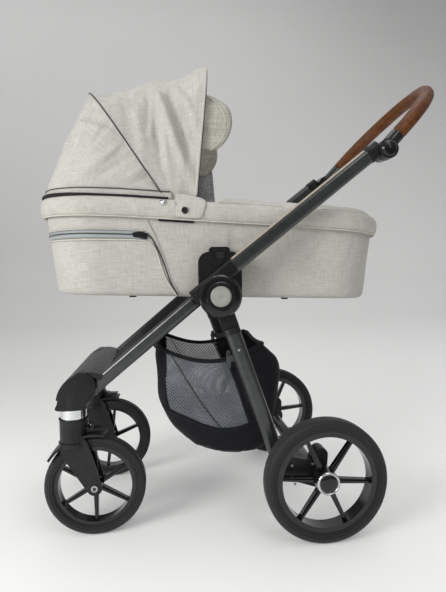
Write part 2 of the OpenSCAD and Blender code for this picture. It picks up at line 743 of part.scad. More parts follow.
module hood_bow_middle() color(c_steel) placed() {
    translate([hood_axis[0], 0, hood_axis[1]]) rotate([0, -hood_mid_angle, 0])
        translate([0, 0, 6]) bow(172, hood_mid_r - hood_t - bow_r - 12, mid_corner - 17);
    both_sides() difference() {
        disc_y(hood_axis, 11, [169, 175]);
        disc_y(hood_axis, 5 + fit, [160, 190]);
    }
}

// the front bow stands on two flat arms that reach forward from the hood's hinge
module hood_bow_front() color(c_steel) placed() {
    on_lip(10) translate([0, 0, 12]) bow(165.5, hood_rise - hood_t - bow_r - 18, lip_corner - 14);
    both_sides() difference() {
        slab_y([163, 168]) link_shape(hood_axis, 11, [hood_lip_x - 9, hood_axis[1] + 14], 8);
        disc_y(hood_axis, 5 + fit, [160, 190]);
    }
}

visor_h = 347;
visor_drop = 94;
cheek_r = 72;
cheek_mid = [-300, 985];
// sun visor inside the lip: a hanging strip under the crown with a rounded cheek at each side
module visor() color(c_fabric) placed() {
    intersection() {
        lip_slab(158, visor_h, lip_corner - 15, 4, 16);
        translate([hood_lip_x - 60, -200, hood_axis[1] + visor_h - visor_drop]) cube([120, 400, 100]);
    }
    both_sides() intersection() {
        slab_y([154, 158]) translate(cheek_mid) circle(r = cheek_r, $fn = 96);
        translate([cheek_mid[0] - 1, 150, 700]) cube([200, 20, 500]);
    }
}

front_tube(-1);  // front_tube_left
front_tube(1);  // front_tube_right
front_bridge();
steering_heads();
hub_plates();
hub_pivots();
cot_adaptors();
basket();
handle_tube(-1);  // handle_tube_left
handle_tube(1);  // handle_tube_right
handle_brackets();
tube_ends();
hub_rings();
hub_caps();
grip_core();
grip_leather();
grip_sockets();
tilt_button(-1);  // tilt_button_left
tilt_button(1);  // tilt_button_right
rear_leg(-1);  // rear_leg_left
rear_leg(1);  // rear_leg_right
leg_sockets();
axle_tube();
brake_housings();
axle_pins();
basket_hooks();
brake_pedal();
brake_pin(-1);  // brake_pin_left
brake_pin(1);  // brake_pin_right
rear_tyre(-1);  // rear_tyre_left
rear_tyre(1);  // rear_tyre_right
rear_rim(-1, 55);  // rear_rim_left
rear_rim(1, 65);  // rear_rim_right
rear_cap(-1);  // rear_cap_left
rear_cap(1);  // rear_cap_right
suspension_sleeve(-1);  // suspension_sleeve_left
suspension_sleeve(1);  // suspension_sleeve_right
fork(-1);  // fork_left
fork(1);  // fork_right
front_axle(-1);  // front_axle_left
front_axle(1);  // front_axle_right
lock_lever(-1);  // lock_lever_left
lock_lever(1);  // lock_lever_right
front_tyre(-1);  // front_tyre_left
front_tyre(1);  // front_tyre_right
front_rim(-1, 30);  // front_rim_left
front_rim(1, 22);  // front_rim_right
cot_shell();
cot_rim();
mattress();
apron();
cot_feet();
cot_lugs();
release_button(-1);  // release_button_left
release_button(1);  // release_button_right
hood_bow_middle();
hood_bow_front();
hood_panel_back();
hood_panel_front();
visor();
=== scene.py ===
"""Looks of the pram with carrycot: materials, soft goods, small trim, floor, light and camera."""

import json
import math

import bmesh
import bpy
import numpy as np
from mathutils import Matrix, Vector, noise


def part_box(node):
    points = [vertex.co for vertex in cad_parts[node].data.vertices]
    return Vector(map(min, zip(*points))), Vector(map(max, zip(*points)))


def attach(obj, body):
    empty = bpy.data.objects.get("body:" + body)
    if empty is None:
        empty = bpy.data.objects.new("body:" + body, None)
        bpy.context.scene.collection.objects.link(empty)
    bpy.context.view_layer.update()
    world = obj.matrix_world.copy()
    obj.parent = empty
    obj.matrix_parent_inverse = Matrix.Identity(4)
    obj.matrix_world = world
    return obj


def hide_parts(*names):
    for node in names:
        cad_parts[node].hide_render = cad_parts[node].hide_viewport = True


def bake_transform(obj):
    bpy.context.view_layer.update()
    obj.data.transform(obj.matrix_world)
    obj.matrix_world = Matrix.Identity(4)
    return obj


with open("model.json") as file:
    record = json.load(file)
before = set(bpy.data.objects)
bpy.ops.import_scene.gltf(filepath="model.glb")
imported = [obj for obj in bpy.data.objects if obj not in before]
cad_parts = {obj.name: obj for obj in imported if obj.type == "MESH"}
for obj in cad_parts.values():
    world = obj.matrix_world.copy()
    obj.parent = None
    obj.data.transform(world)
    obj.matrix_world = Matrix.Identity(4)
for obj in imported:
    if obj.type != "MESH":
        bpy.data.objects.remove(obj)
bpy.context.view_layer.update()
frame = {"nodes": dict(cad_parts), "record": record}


def extent(node):
    """Lowest and highest corner of a CAD node as arrays."""
    lo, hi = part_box(node)
    return np.array(lo), np.array(hi)


# The rear axle stands over X = AX. Shapes below are written from the rear axle, in metres.
lo, hi = extent("rear_rim_left")
AX = float(lo[0] + hi[0]) / 2


def at(x, y, z):
    return (x + AX, y, z)


def smooth(a, b, v):
    t = np.clip((np.asarray(v, float) - a) / (b - a), 0, 1)
    return t * t * (3 - 2 * t)


def bell(v, mid, width):
    return np.exp(-(((np.asarray(v, float) - mid) / width) ** 2))


# ---------------------------------------------------------------- camera

def make_camera():
    yaw, pitch, roll = (math.radians(a) for a in (6.7813, 2.9848, -0.9138))
    fwd = Vector((math.sin(yaw) * math.cos(pitch), math.cos(yaw) * math.cos(pitch), -math.sin(pitch)))
    right0 = Vector((math.cos(yaw), -math.sin(yaw), 0))
    up0 = right0.cross(fwd)
    right = right0 * math.cos(roll) + up0 * math.sin(roll)
    up = up0 * math.cos(roll) - right0 * math.sin(roll)
    cam = bpy.data.objects.new("camera", bpy.data.cameras.new("camera"))
    bpy.context.scene.collection.objects.link(cam)
    turn = Matrix((right, up, -fwd)).transposed().to_4x4()
    cam.matrix_world = Matrix.Translation(at(-0.3591, -1.34205, 0.63409)) @ turn
    cam.data.sensor_width = 36
    cam.data.lens = 29.06
    cam.data.clip_end = 50
    bpy.context.scene.camera = cam


make_camera()

# ---------------------------------------------------------------- materials

def rgb(code):
    """Linear colour with alpha from an sRGB hex code."""
    out = []
    for i in (0, 2, 4):
        c = int(code[i:i + 2], 16) / 255
        out.append(c / 12.92 if c <= 0.04045 else ((c + 0.055) / 1.055) ** 2.4)
    return tuple(out) + (1.0,)


class Shade:
    """A material built of nodes around one Principled shader."""

    def __init__(self, name, rough, metal=0.0, **sockets):
        self.mat = bpy.data.materials.new(name)
        self.mat.use_nodes = True
        self.tree = self.mat.node_tree
        self.tree.nodes.clear()
        self.out = self.node("ShaderNodeOutputMaterial")
        self.bsdf = self.node("ShaderNodeBsdfPrincipled")
        self.link(self.bsdf.outputs[0], self.out.inputs["Surface"])
        self.bsdf.inputs["Roughness"].default_value = rough
        self.bsdf.inputs["Metallic"].default_value = metal
        for key, value in sockets.items():
            self.bsdf.inputs[key.replace("_", " ")].default_value = value
        self.height = None

    def node(self, kind, **props):
        n = self.tree.nodes.new(kind)
        for key, value in props.items():
            setattr(n, key, value)
        return n

    def link(self, a, b):
        self.tree.links.new(a, b)

    def coords(self, scale=(1, 1, 1), space="Object", rotation=(0, 0, 0)):
        c = self.node("ShaderNodeTexCoord")
        m = self.node("ShaderNodeMapping")
        m.inputs["Scale"].default_value = scale
        m.inputs["Rotation"].default_value = rotation
        self.link(c.outputs[space], m.inputs["Vector"])
        return m.outputs["Vector"]

    def noise(self, vec, scale, detail=3.0, rough=0.5):
        n = self.node("ShaderNodeTexNoise")
        n.inputs["Scale"].default_value = scale
        n.inputs["Detail"].default_value = detail
        n.inputs["Roughness"].default_value = rough
        self.link(vec, n.inputs["Vector"])
        return n.outputs["Fac"]

    def wave(self, vec, scale, direction):
        n = self.node("ShaderNodeTexWave", bands_direction=direction)
        n.inputs["Scale"].default_value = scale
        n.inputs["Detail"].default_value = 1.0
        self.link(vec, n.inputs["Vector"])
        return n.outputs["Fac"]

    def cells(self, vec, scale):
        n = self.node("ShaderNodeTexVoronoi")
        n.inputs["Scale"].default_value = scale
        self.link(vec, n.inputs["Vector"])
        return n.outputs["Distance"]

    def math(self, op, a, b, clamp=False):
        n = self.node("ShaderNodeMath", operation=op, use_clamp=clamp)
        for socket, value in zip(n.inputs, (a, b)):
            if isinstance(value, (int, float)):
                socket.default_value = value
            else:
                self.link(value, socket)
        return n.outputs[0]

    def ramp(self, fac, stops):
        n = self.node("ShaderNodeValToRGB")
        while len(n.color_ramp.elements) < len(stops):
            n.color_ramp.elements.new(0.5)
        for e, (pos, col) in zip(n.color_ramp.elements, stops):
            e.position = pos
            e.color = col if not isinstance(col, (int, float)) else (col, col, col, 1)
        self.link(fac, n.inputs["Fac"])
        return n.outputs["Color"]

    def mix(self, fac, a, b):
        n = self.node("ShaderNodeMix", data_type="RGBA")
        for i, value in ((0, fac), (6, a), (7, b)):
            if isinstance(value, (int, float, tuple)):
                n.inputs[i].default_value = value
            else:
                self.link(value, n.inputs[i])
        return n.outputs[2]

    def colour(self, socket):
        if isinstance(socket, tuple):
            self.bsdf.inputs["Base Color"].default_value = socket
        else:
            self.link(socket, self.bsdf.inputs["Base Color"])

    def rough(self, socket):
        self.link(socket, self.bsdf.inputs["Roughness"])

    def bump(self, height, strength, distance):
        n = self.node("ShaderNodeBump")
        n.inputs["Strength"].default_value = strength
        n.inputs["Distance"].default_value = distance
        self.link(height, n.inputs["Height"])
        if self.height is not None:
            self.link(self.height, n.inputs["Normal"])
        self.height = n.outputs["Normal"]
        self.link(self.height, self.bsdf.inputs["Normal"])

    def worn(self, base, worn, amount):
        """Base colour with a paler line where the surface turns sharply."""
        g = self.node("ShaderNodeNewGeometry")
        edge = self.ramp(g.outputs["Pointiness"], [(0.5, 0.0), (0.53 + 0.03 * (1 - amount), 1.0)])
        bits = self.noise(self.coords(), 60, 4, 0.7)
        mask = self.math("MULTIPLY", self.math("MULTIPLY", edge, bits), amount, clamp=True)
        return self.mix(mask, base, worn)


def linen(name, light="b6b4ad", dark="a2a099"):
    """Melange plain weave; streaks of paler and darker yarn run along and across the cloth."""
    s = Shade(name, rough=0.88, Sheen_Weight=0.1, Sheen_Roughness=0.5)
    warp = s.noise(s.coords((30, 420, 1), "UV"), 1.0, 3, 0.65)
    weft = s.noise(s.coords((420, 30, 1), "UV"), 1.0, 3, 0.65)
    yarn = s.math("MULTIPLY", s.math("ADD", warp, weft), 0.5)
    cloud = s.noise(s.coords((9, 9, 9)), 1.0, 4, 0.6)
    fac = s.math("ADD", s.math("MULTIPLY", yarn, 0.82), s.math("MULTIPLY", cloud, 0.18))
    s.colour(s.ramp(fac, [(0.36, rgb(dark)), (0.5, rgb(light)), (0.66, rgb("cbc9c2"))]))
    uv = s.coords((640, 640, 640), "UV")
    grid = s.math("ADD", s.wave(uv, 0.31, "X"), s.wave(uv, 0.31, "Y"))
    s.bump(grid, 0.35, 0.0004)
    s.bump(yarn, 0.3, 0.0006)
    s.bump(s.noise(s.coords((26, 26, 26)), 1.0, 3, 0.55), 0.2, 0.003)
    return s.mat


def dark_cloth(name):
    s = Shade(name, rough=0.85, Sheen_Weight=0.06, Sheen_Roughness=0.4, Specular_IOR_Level=0.25)
    uv = s.coords((620, 620, 620), "UV")
    grid = s.math("MULTIPLY", s.wave(uv, 0.31, "X"), s.wave(uv, 0.31, "Y"))
    yarn = s.noise(s.coords((200, 200, 200)), 1.0, 3, 0.6)
    s.colour(s.ramp(s.math("ADD", s.math("MULTIPLY", grid, 0.4), s.math("MULTIPLY", yarn, 0.6)),
                    [(0.2, rgb("0d0d11")), (0.75, rgb("1b1b21"))]))
    s.bump(grid, 0.3, 0.0003)
    s.bump(s.noise(s.coords((34, 34, 34)), 1.0, 3, 0.5), 0.4, 0.005)
    return s.mat


def mesh_cloth(name):
    """Open knit: dark yarn with holes cut by the alpha of a fine pattern."""
    s = Shade(name, rough=0.75, Sheen_Weight=0.2)
    uv = s.coords((190, 190, 190), "UV", (0, 0, math.radians(45)))
    a = s.wave(uv, 0.32, "X")
    b = s.wave(uv, 0.32, "Y")
    hole = s.math("GREATER_THAN", s.math("MULTIPLY", a, b), 0.3)
    s.colour(s.ramp(s.noise(s.coords((14, 14, 14)), 1.0, 2), [(0.3, rgb("55585d")), (0.7, rgb("6c7076"))]))
    s.link(s.math("SUBTRACT", 1.0, s.math("MULTIPLY", hole, 0.8)), s.bsdf.inputs["Alpha"])
    s.bump(s.math("MULTIPLY", a, b), 0.2, 0.0002)
    return s.mat


def leather(name):
    s = Shade(name, rough=0.46, Coat_Weight=0.06, Coat_Roughness=0.35, Specular_IOR_Level=0.25)
    p = s.coords((1, 1, 1))
    blotch = s.noise(p, 60, 4, 0.6)
    fine = s.noise(p, 240, 3, 0.6)
    fac = s.math("ADD", s.math("MULTIPLY", blotch, 0.7), s.math("MULTIPLY", fine, 0.3))
    s.colour(s.ramp(fac, [(0.2, rgb("33180a")), (0.5, rgb("5c3211")), (0.8, rgb("845020"))]))
    pores = s.cells(p, 520)
    s.bump(pores, 0.45, 0.0006)
    s.bump(s.noise(p, 90, 3, 0.6), 0.25, 0.0012)
    s.rough(s.ramp(fine, [(0.3, 0.34), (0.75, 0.52)]))
    return s.mat


def painted(name, base, light, metal, rough):
    s = Shade(name, rough=rough, metal=metal, Coat_Weight=0.7, Coat_Roughness=0.14)
    p = s.coords((1, 1, 1))
    flake = s.noise(p, 900, 2, 0.5)
    tone = s.ramp(s.math("ADD", s.math("MULTIPLY", flake, 0.5), s.math("MULTIPLY", s.noise(p, 14, 3), 0.5)),
                  [(0.3, rgb(base)), (0.7, rgb(light))])
    s.colour(s.worn(tone, rgb("6b6d6c"), 0.3))
    s.rough(s.ramp(s.noise(p, 40, 4, 0.6), [(0.3, rough - 0.05), (0.75, rough + 0.08)]))
    s.bump(flake, 0.12, 0.0003)
    return s.mat


def plastic(name, base, light, rough, grain=1400.0, depth=0.25, coat=0.0):
    s = Shade(name, rough=rough, Coat_Weight=coat, Coat_Roughness=0.12, Specular_IOR_Level=0.3)
    p = s.coords((1, 1, 1))
    tone = s.ramp(s.noise(p, 30, 4, 0.6), [(0.3, rgb(base)), (0.72, rgb(light))])
    s.colour(s.worn(tone, rgb("48494b"), 0.25))
    s.bump(s.cells(p, grain), depth, 0.00025)
    s.rough(s.ramp(s.noise(p, 75, 3, 0.6), [(0.3, max(rough - 0.08, 0.05)), (0.75, rough + 0.08)]))
    return s.mat


def metal(name, base, rough, scratch=0.12):
    s = Shade(name, rough=rough, metal=1.0)
    p = s.coords((1, 1, 14))
    line = s.noise(p, 160, 4, 0.7)
    s.colour(s.ramp(line, [(0.3, rgb(base)), (0.7, rgb("e8e9ea"))]))
    s.rough(s.ramp(line, [(0.3, rough * 0.8), (0.75, rough * 1.5)]))
    s.bump(line, scratch, 0.0002)
    return s.mat


def rubber(name):
    s = Shade(name, rough=0.72, Sheen_Weight=0.08)
    p = s.coords((1, 1, 1))
    dust = s.noise(p, 38, 5, 0.65)
    s.colour(s.ramp(dust, [(0.35, rgb("101012")), (0.6, rgb("19191c")), (0.85, rgb("302f33"))]))
    s.bump(s.noise(p, 700, 3, 0.6), 0.3, 0.0005)
    s.rough(s.ramp(dust, [(0.3, 0.6), (0.7, 0.82)]))
    return s.mat


def flat_tone(name, base, light, rough, scale, sheen=0.0):
    s = Shade(name, rough=rough, Sheen_Weight=sheen)
    p = s.coords((1, 1, 1))
    n = s.noise(p, scale, 4, 0.6)
    s.colour(s.ramp(n, [(0.3, rgb(base)), (0.7, rgb(light))]))
    s.bump(s.noise(p, scale * 12, 2), 0.25, 0.0004)
    return s.mat


MATS = {
    "linen": linen("linen_weave"),
    "linen_trim": linen("linen_trim", "b9b7af", "a4a29a"),
    # painted shade: a darker, yellower copy of the linen for the visor flap, which sits in shade inside the lip
    "linen_painted_shade": linen("linen_painted_shade", "a6a396", "8a877c"),
    "linen_inner": linen("linen_inner", "8f9092", "6c6d70"),
    "basket_fabric": dark_cloth("basket_cloth"),
    "basket_mesh": mesh_cloth("basket_mesh"),
    "leather": leather("handle_leather"),
    "graphite": painted("graphite_paint", "121416", "1b1d20", 0.5, 0.34),
    "bridge_plastic": plastic("bridge_grain", "202224", "2b2d2f", 0.42),
    "black_plastic": plastic("black_grain", "09090b", "121214", 0.4),
    "gloss_black": plastic("gloss_black", "040406", "08080a", 0.18, 900, 0.04, 0.4),
    "button_plastic": plastic("button_grain", "1d1e20", "292a2c", 0.4),
    "hook_plastic": plastic("hook_grain", "3c3e3f", "4d4f50", 0.5),
    "steel": metal("brushed_steel", "8d9092", 0.28),
    "chrome": metal("bright_chrome", "b5b8bb", 0.1, 0.03),
    # painted highlight: pale colour for the strip along each handle tube's upper edge
    "painted_highlight_strip": flat_tone("painted_highlight_edge", "958b7b", "a89e8c", 0.45, 200),
    "bolt": metal("zinc_bolt", "3c3e40", 0.34, 0.1),
    "cap_grey": plastic("cap_satin", "8c8c86", "9e9e98", 0.36, 1600, 0.1),
    "tyre": rubber("tyre_rubber"),
    "mattress_cover": flat_tone("knit_cover", "cfcdc6", "e2e0da", 0.85, 300, 0.2),
    "zip_tape": flat_tone("zip_tape", "8d9294", "a6abab", 0.55, 400, 0.1),
    "dark_cord": flat_tone("dark_piping", "232427", "38393b", 0.7, 300, 0.2),
    "pale_cord": linen("pale_piping", "cdcabf", "a5a39a"),
    "pale_thread": flat_tone("stitch_thread", "8a5a3c", "b88a62", 0.6, 500),
    # painted shade: near-black for the gap at the hood's zip
    "painted_gap_shade": flat_tone("gap_shade_black", "050506", "0c0c0d", 0.8, 200),
}

for part in frame["record"]["subparts"]:
    ob = frame["nodes"][part["node"]]
    ob.data.materials.clear()
    ob.data.materials.append(MATS[part["material_slot"]])

for name, look in (("front_axle_left", "bolt"), ("front_axle_right", "bolt"), ("hub_plates", "gloss_black"),
                   ("cot_lugs", "gloss_black"), ("cot_adaptors", "gloss_black")):
    frame["nodes"][name].data.materials[0] = MATS[look]

# ---------------------------------------------------------------- mesh helpers

def add(piece, body):
    """Rides a piece on a body."""
    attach(piece, body)
    return piece


def link_mesh(name, verts, faces, mat, uvs=None):
    me = bpy.data.meshes.new(name)
    me.from_pydata([tuple(v) for v in verts], [], faces)
    me.validate()
    me.update()
    ob = bpy.data.objects.new(name, me)
    bpy.context.scene.collection.objects.link(ob)
    me.materials.append(MATS[mat])
    me.shade_smooth()
    if uvs is not None:
        set_uv(me, uvs)
    return ob


def set_uv(me, uvs):
    """Gives each corner the UV of its vertex."""
    layer = me.uv_layers.get("UVMap") or me.uv_layers.new(name="UVMap")
    layer.data.foreach_set("uv", np.array([uvs[l.vertex_index] for l in me.loops], float).ravel())


def lengths(P, axis):
    """Mean running length along one direction of a grid of points."""
    step = np.linalg.norm(np.diff(P, axis=axis), axis=2).mean(axis=1 - axis)
    return np.concatenate([[0], np.cumsum(step)])


def grid_uv(P):
    u, v = lengths(P, 0), lengths(P, 1)
    return np.stack(np.meshgrid(u, v, indexing="ij"), axis=2).reshape(-1, 2)


def normals(P):
    """Normals of a grid of points, right-handed from its first to its second direction."""
    du = np.gradient(P, axis=0)
    dv = np.gradient(P, axis=1)
    n = np.cross(du, dv)
    return n / np.maximum(np.linalg.norm(n, axis=2, keepdims=True), 1e-12)


def grid_faces(nu, nv, base=0, flip=False):
    out = []
    for i in range(nu - 1):
        for j in range(nv - 1):
            a = base + i * nv + j
            b = a + nv
            out.append((a, a + 1, b + 1, b) if flip else (a, b, b + 1, a + 1))
    return out


def slab_faces(nu, nv):
    """Faces of a grid of points, of the same grid behind it, and of the strip round their edges."""
    n = nu * nv
    faces = grid_faces(nu, nv) + grid_faces(nu, nv, n, True)
    edge = [(i, 0) for i in range(nu)] + [(nu - 1, j) for j in range(1, nv)]
    edge += [(i, nv - 1) for i in range(nu - 2, -1, -1)] + [(0, j) for j in range(nv - 2, 0, -1)]
    ids = [i * nv + j for i, j in edge]
    return faces + [(a, a + n, b + n, b) for a, b in zip(ids, ids[1:] + ids[:1])]


def sheet_mesh(name, P, mat, t, N=None):
    """Closed thin sheet: P is its outer face, and its inner face lies t behind it."""
    N = normals(P) if N is None else N
    verts = np.concatenate([P.reshape(-1, 3), (P - N * t).reshape(-1, 3)])
    uv = grid_uv(P)
    ob = link_mesh(name, verts, slab_faces(*P.shape[:2]), mat, np.concatenate([uv, uv]))
    fix_normals(ob)
    return ob


def fix_normals(ob):
    bm = bmesh.new()
    bm.from_mesh(ob.data)
    bmesh.ops.remove_doubles(bm, verts=bm.verts, dist=1e-6)
    bmesh.ops.recalc_face_normals(bm, faces=bm.faces)
    bm.to_mesh(ob.data)
    bm.free()


def loop_mesh(name, P, mat, close_u=True, caps=False):
    """Rings of points, joined round and, with close_u, end to end. caps closes both open ends, or the last."""
    Q = np.concatenate([P, P[:1]], axis=0) if close_u else P
    Q = np.concatenate([Q, Q[:, :1]], axis=1)
    mu, mv = Q.shape[:2]
    faces = grid_faces(mu, mv)
    if caps and not close_u:
        if caps != "last":
            faces.append(tuple(range(mv - 1)))
        faces.append(tuple(range(mu * mv - 2, (mu - 1) * mv - 1, -1)))
    ob = link_mesh(name, Q.reshape(-1, 3), faces, mat, grid_uv(Q))
    fix_normals(ob)
    return ob


def tube(name, pts, r, mat, sides, closed=False, flat=1.0, up=(0, 0, 1)):
    """Tube along points. flat below 1 thins it along its local up direction."""
    pts = np.array(pts, float)
    tan = np.gradient(pts, axis=0)
    if closed:
        tan = np.roll(pts, -1, axis=0) - np.roll(pts, 1, axis=0)
    tan /= np.maximum(np.linalg.norm(tan, axis=1, keepdims=True), 1e-9)
    side = np.cross(tan, np.array(up, float))
    side /= np.maximum(np.linalg.norm(side, axis=1, keepdims=True), 1e-9)
    top = np.cross(side, tan)
    a = np.linspace(0, 2 * math.pi, sides, endpoint=False)
    radius = np.broadcast_to(np.asarray(r, float), (len(pts),))
    P = (pts[:, None] + radius[:, None, None] * (np.cos(a)[None, :, None] * side[:, None]
         + flat * np.sin(a)[None, :, None] * top[:, None]))
    return loop_mesh(name, P, mat, close_u=closed, caps=not closed)


def resample(pts, n, closed=False):
    """n points evenly along a smooth curve through pts (Catmull-Rom)."""
    p = np.array(pts, float)
    if closed:
        p = np.concatenate([p[-1:], p, p[:2]])
    else:
        p = np.concatenate([2 * p[:1] - p[1:2], p, 2 * p[-1:] - p[-2:-1]])
    fine = []
    for i in range(1, len(p) - 2):
        t = np.linspace(0, 1, 24, endpoint=False)[:, None]
        a, b, c, d = p[i - 1], p[i], p[i + 1], p[i + 2]
        fine.append(0.5 * (2 * b + (c - a) * t + (2 * a - 5 * b + 4 * c - d) * t ** 2
                           + (3 * b - a - 3 * c + d) * t ** 3))
    return spaced(np.concatenate(fine + [p[-2:-1]]), n, closed)


def run_length(p):
    return np.concatenate([[0], np.cumsum(np.linalg.norm(np.diff(p, axis=0), axis=1))])


def spaced(p, n, closed=False):
    """n points evenly along a polyline."""
    s = run_length(p)
    want = np.linspace(0, s[-1], n, endpoint=not closed)
    return np.stack([np.interp(want, s, p[:, k]) for k in range(p.shape[1])], axis=1)


def rounded(L, W, R, n, corner=16):
    """n points round a rounded rectangle, from the end of +x; corner is the points on each arc."""
    R = min(R, L / 2 - 1e-4, W / 2 - 1e-4)
    hx, hy = L / 2 - R, W / 2 - R
    pts = []
    for cx, cy, a0 in ((hx, hy, 0), (-hx, hy, 90), (-hx, -hy, 180), (hx, -hy, 270)):
        for a in np.radians(np.linspace(a0, a0 + 90, corner)):
            pts.append((cx + R * math.cos(a), cy + R * math.sin(a)))
    return spaced(np.array(pts + pts[:1]), n, True)


def crease(x, y, cx, cy, angle, width, length):
    """Long narrow bump, 1 high at (cx, cy), that runs at angle."""
    c, s = math.cos(angle), math.sin(angle)
    across = -(x - cx) * s + (y - cy) * c
    along = (x - cx) * c + (y - cy) * s
    return bell(across, 0, width) * bell(along, 0, length)


def turned(centre, profile, sides):
    """Points turned about an axis along Y: profile holds (radius, distance along the axis)."""
    a = np.linspace(0, 2 * math.pi, sides, endpoint=False)
    return np.array([np.stack([centre[0] + r * np.cos(a), np.full(sides, centre[1] + d),
                               centre[2] + r * np.sin(a)], axis=1) for r, d in profile])


def lathe(name, profile, centre, mat, sides):
    """Turned solid piece, capped at both ends of its profile."""
    ob = loop_mesh(name, turned(centre, profile, sides), mat, close_u=False, caps=True)
    ob.data.set_sharp_from_angle(angle=math.radians(35))
    return ob


def plate(name, shape, y0, y1, mat, bevel, warp):
    """Slab between two values of y from a shape in x and z, with rounded edges. warp moves its points."""
    n = len(shape)
    verts = [at(x, y0, z) for x, z in shape] + [at(x, y1, z) for x, z in shape]
    faces = [tuple(range(n)), tuple(range(2 * n - 1, n - 1, -1))]
    faces += [(i, (i + 1) % n, n + (i + 1) % n, n + i) for i in range(n)]
    ob = link_mesh(name, verts, faces, mat)
    fix_normals(ob)
    m = ob.modifiers.new("bevel", "BEVEL")
    m.width = bevel
    m.segments = 3
    m.limit_method = "ANGLE"
    bake(ob)
    co = np.array([v.co for v in ob.data.vertices])
    for v, c in zip(ob.data.vertices, warp(co)):
        v.co = c
    set_uv(ob.data, np.array([(v.co.x, v.co.z) for v in ob.data.vertices]))
    ob.data.shade_smooth()
    ob.data.set_sharp_from_angle(angle=math.radians(40))
    return ob


def bake(ob):
    """Applies every modifier of an object to its mesh."""
    bpy.context.view_layer.update()
    done = bpy.data.meshes.new_from_object(ob.evaluated_get(bpy.context.evaluated_depsgraph_get()))
    ob.modifiers.clear()
    ob.data = done


def wobble(P, scale, amount, seed=0.0):
    """Smooth noise at each point, from -amount to amount."""
    flat = P.reshape(-1, 3)
    out = np.array([noise.noise(Vector((p[0] * scale + seed, p[1] * scale, p[2] * scale))) for p in flat])
    return out.reshape(P.shape[:-1]) * amount


PRESSURE = 4.0
FRAMES = 20


def inflate(ob, voxel, cap, subdivide=True):
    """Swells a closed mesh with cloth under pressure; no point moves further than cap."""
    m = ob.modifiers.new("remesh", "REMESH")
    m.mode = "VOXEL"
    m.voxel_size = voxel
    bake(ob)
    start = np.array([v.co for v in ob.data.vertices])
    c = ob.modifiers.new("cloth", "CLOTH")
    c.settings.use_pressure = True
    c.settings.uniform_pressure_force = PRESSURE
    c.settings.effector_weights.gravity = 0
    c.settings.quality = 4
    c.settings.tension_stiffness = 18
    c.settings.compression_stiffness = 18
    c.settings.bending_stiffness = 1.5
    c.point_cache.frame_start = 1
    c.point_cache.frame_end = FRAMES
    for f in range(1, FRAMES + 1):
        bpy.context.scene.frame_set(f)
    bake(ob)
    bpy.context.scene.frame_set(1)
    now = np.array([v.co for v in ob.data.vertices])
    move = now - start
    d = np.linalg.norm(move, axis=1, keepdims=True)
    move *= np.minimum(1, cap / np.maximum(d, 1e-9))
    for v, p in zip(ob.data.vertices, start + move):
        v.co = p
    if subdivide:
        m = ob.modifiers.new("smooth", "SUBSURF")
        m.levels = 1
        bake(ob)
    ob.data.shade_smooth()
    return ob


def top_uv(ob):
    """UV in metres from above, for cloth that lies flat."""
    set_uv(ob.data, np.array([(v.co.x + v.co.z, v.co.y - v.co.z) for v in ob.data.vertices]))


# ---------------------------------------------------------------- carrycot

COT_L = 0.889
COT_W = 0.398
COT_R = 0.150
COT_X = -0.2275
BASE_Z = 0.569
TOP_Z = 0.798
BASE_TILT = math.sin(math.radians(2.0))
RIM_TILT = math.sin(math.radians(3.6))


def outline(inset, n):
    """n points round the cot, set in by inset; x is from the cot's middle."""
    return rounded(COT_L - 2 * inset, COT_W - 2 * inset, max(COT_R - inset, 0.003), n, 24)


def droop(dx):
    """How much lower the rim lies than its straight line, at dx from the cot's middle."""
    return 0.006 * smooth(0.20, 0.45, -dx) + 0.003 * smooth(0.15, 0.45, dx)


def ring_at(inset, base_w, dz, n, droops=True):
    """Ring of the cot: base_w 1 lies on the base's slope and 0 on the rim's; dz is above that level."""
    xy = outline(inset, n)
    slope = base_w * BASE_TILT + (1 - base_w) * RIM_TILT
    z0 = base_w * BASE_Z + (1 - base_w) * TOP_Z
    z = z0 + dz - xy[:, 0] * slope
    if droops:
        z = z - (1 - base_w) * droop(xy[:, 0])
    return np.stack([xy[:, 0] + COT_X + AX, xy[:, 1], z], axis=1)


def rim_top(x):
    """Height of the rim's top at x."""
    dx = np.asarray(x, float) - COT_X
    return TOP_Z - dx * RIM_TILT - droop(dx)


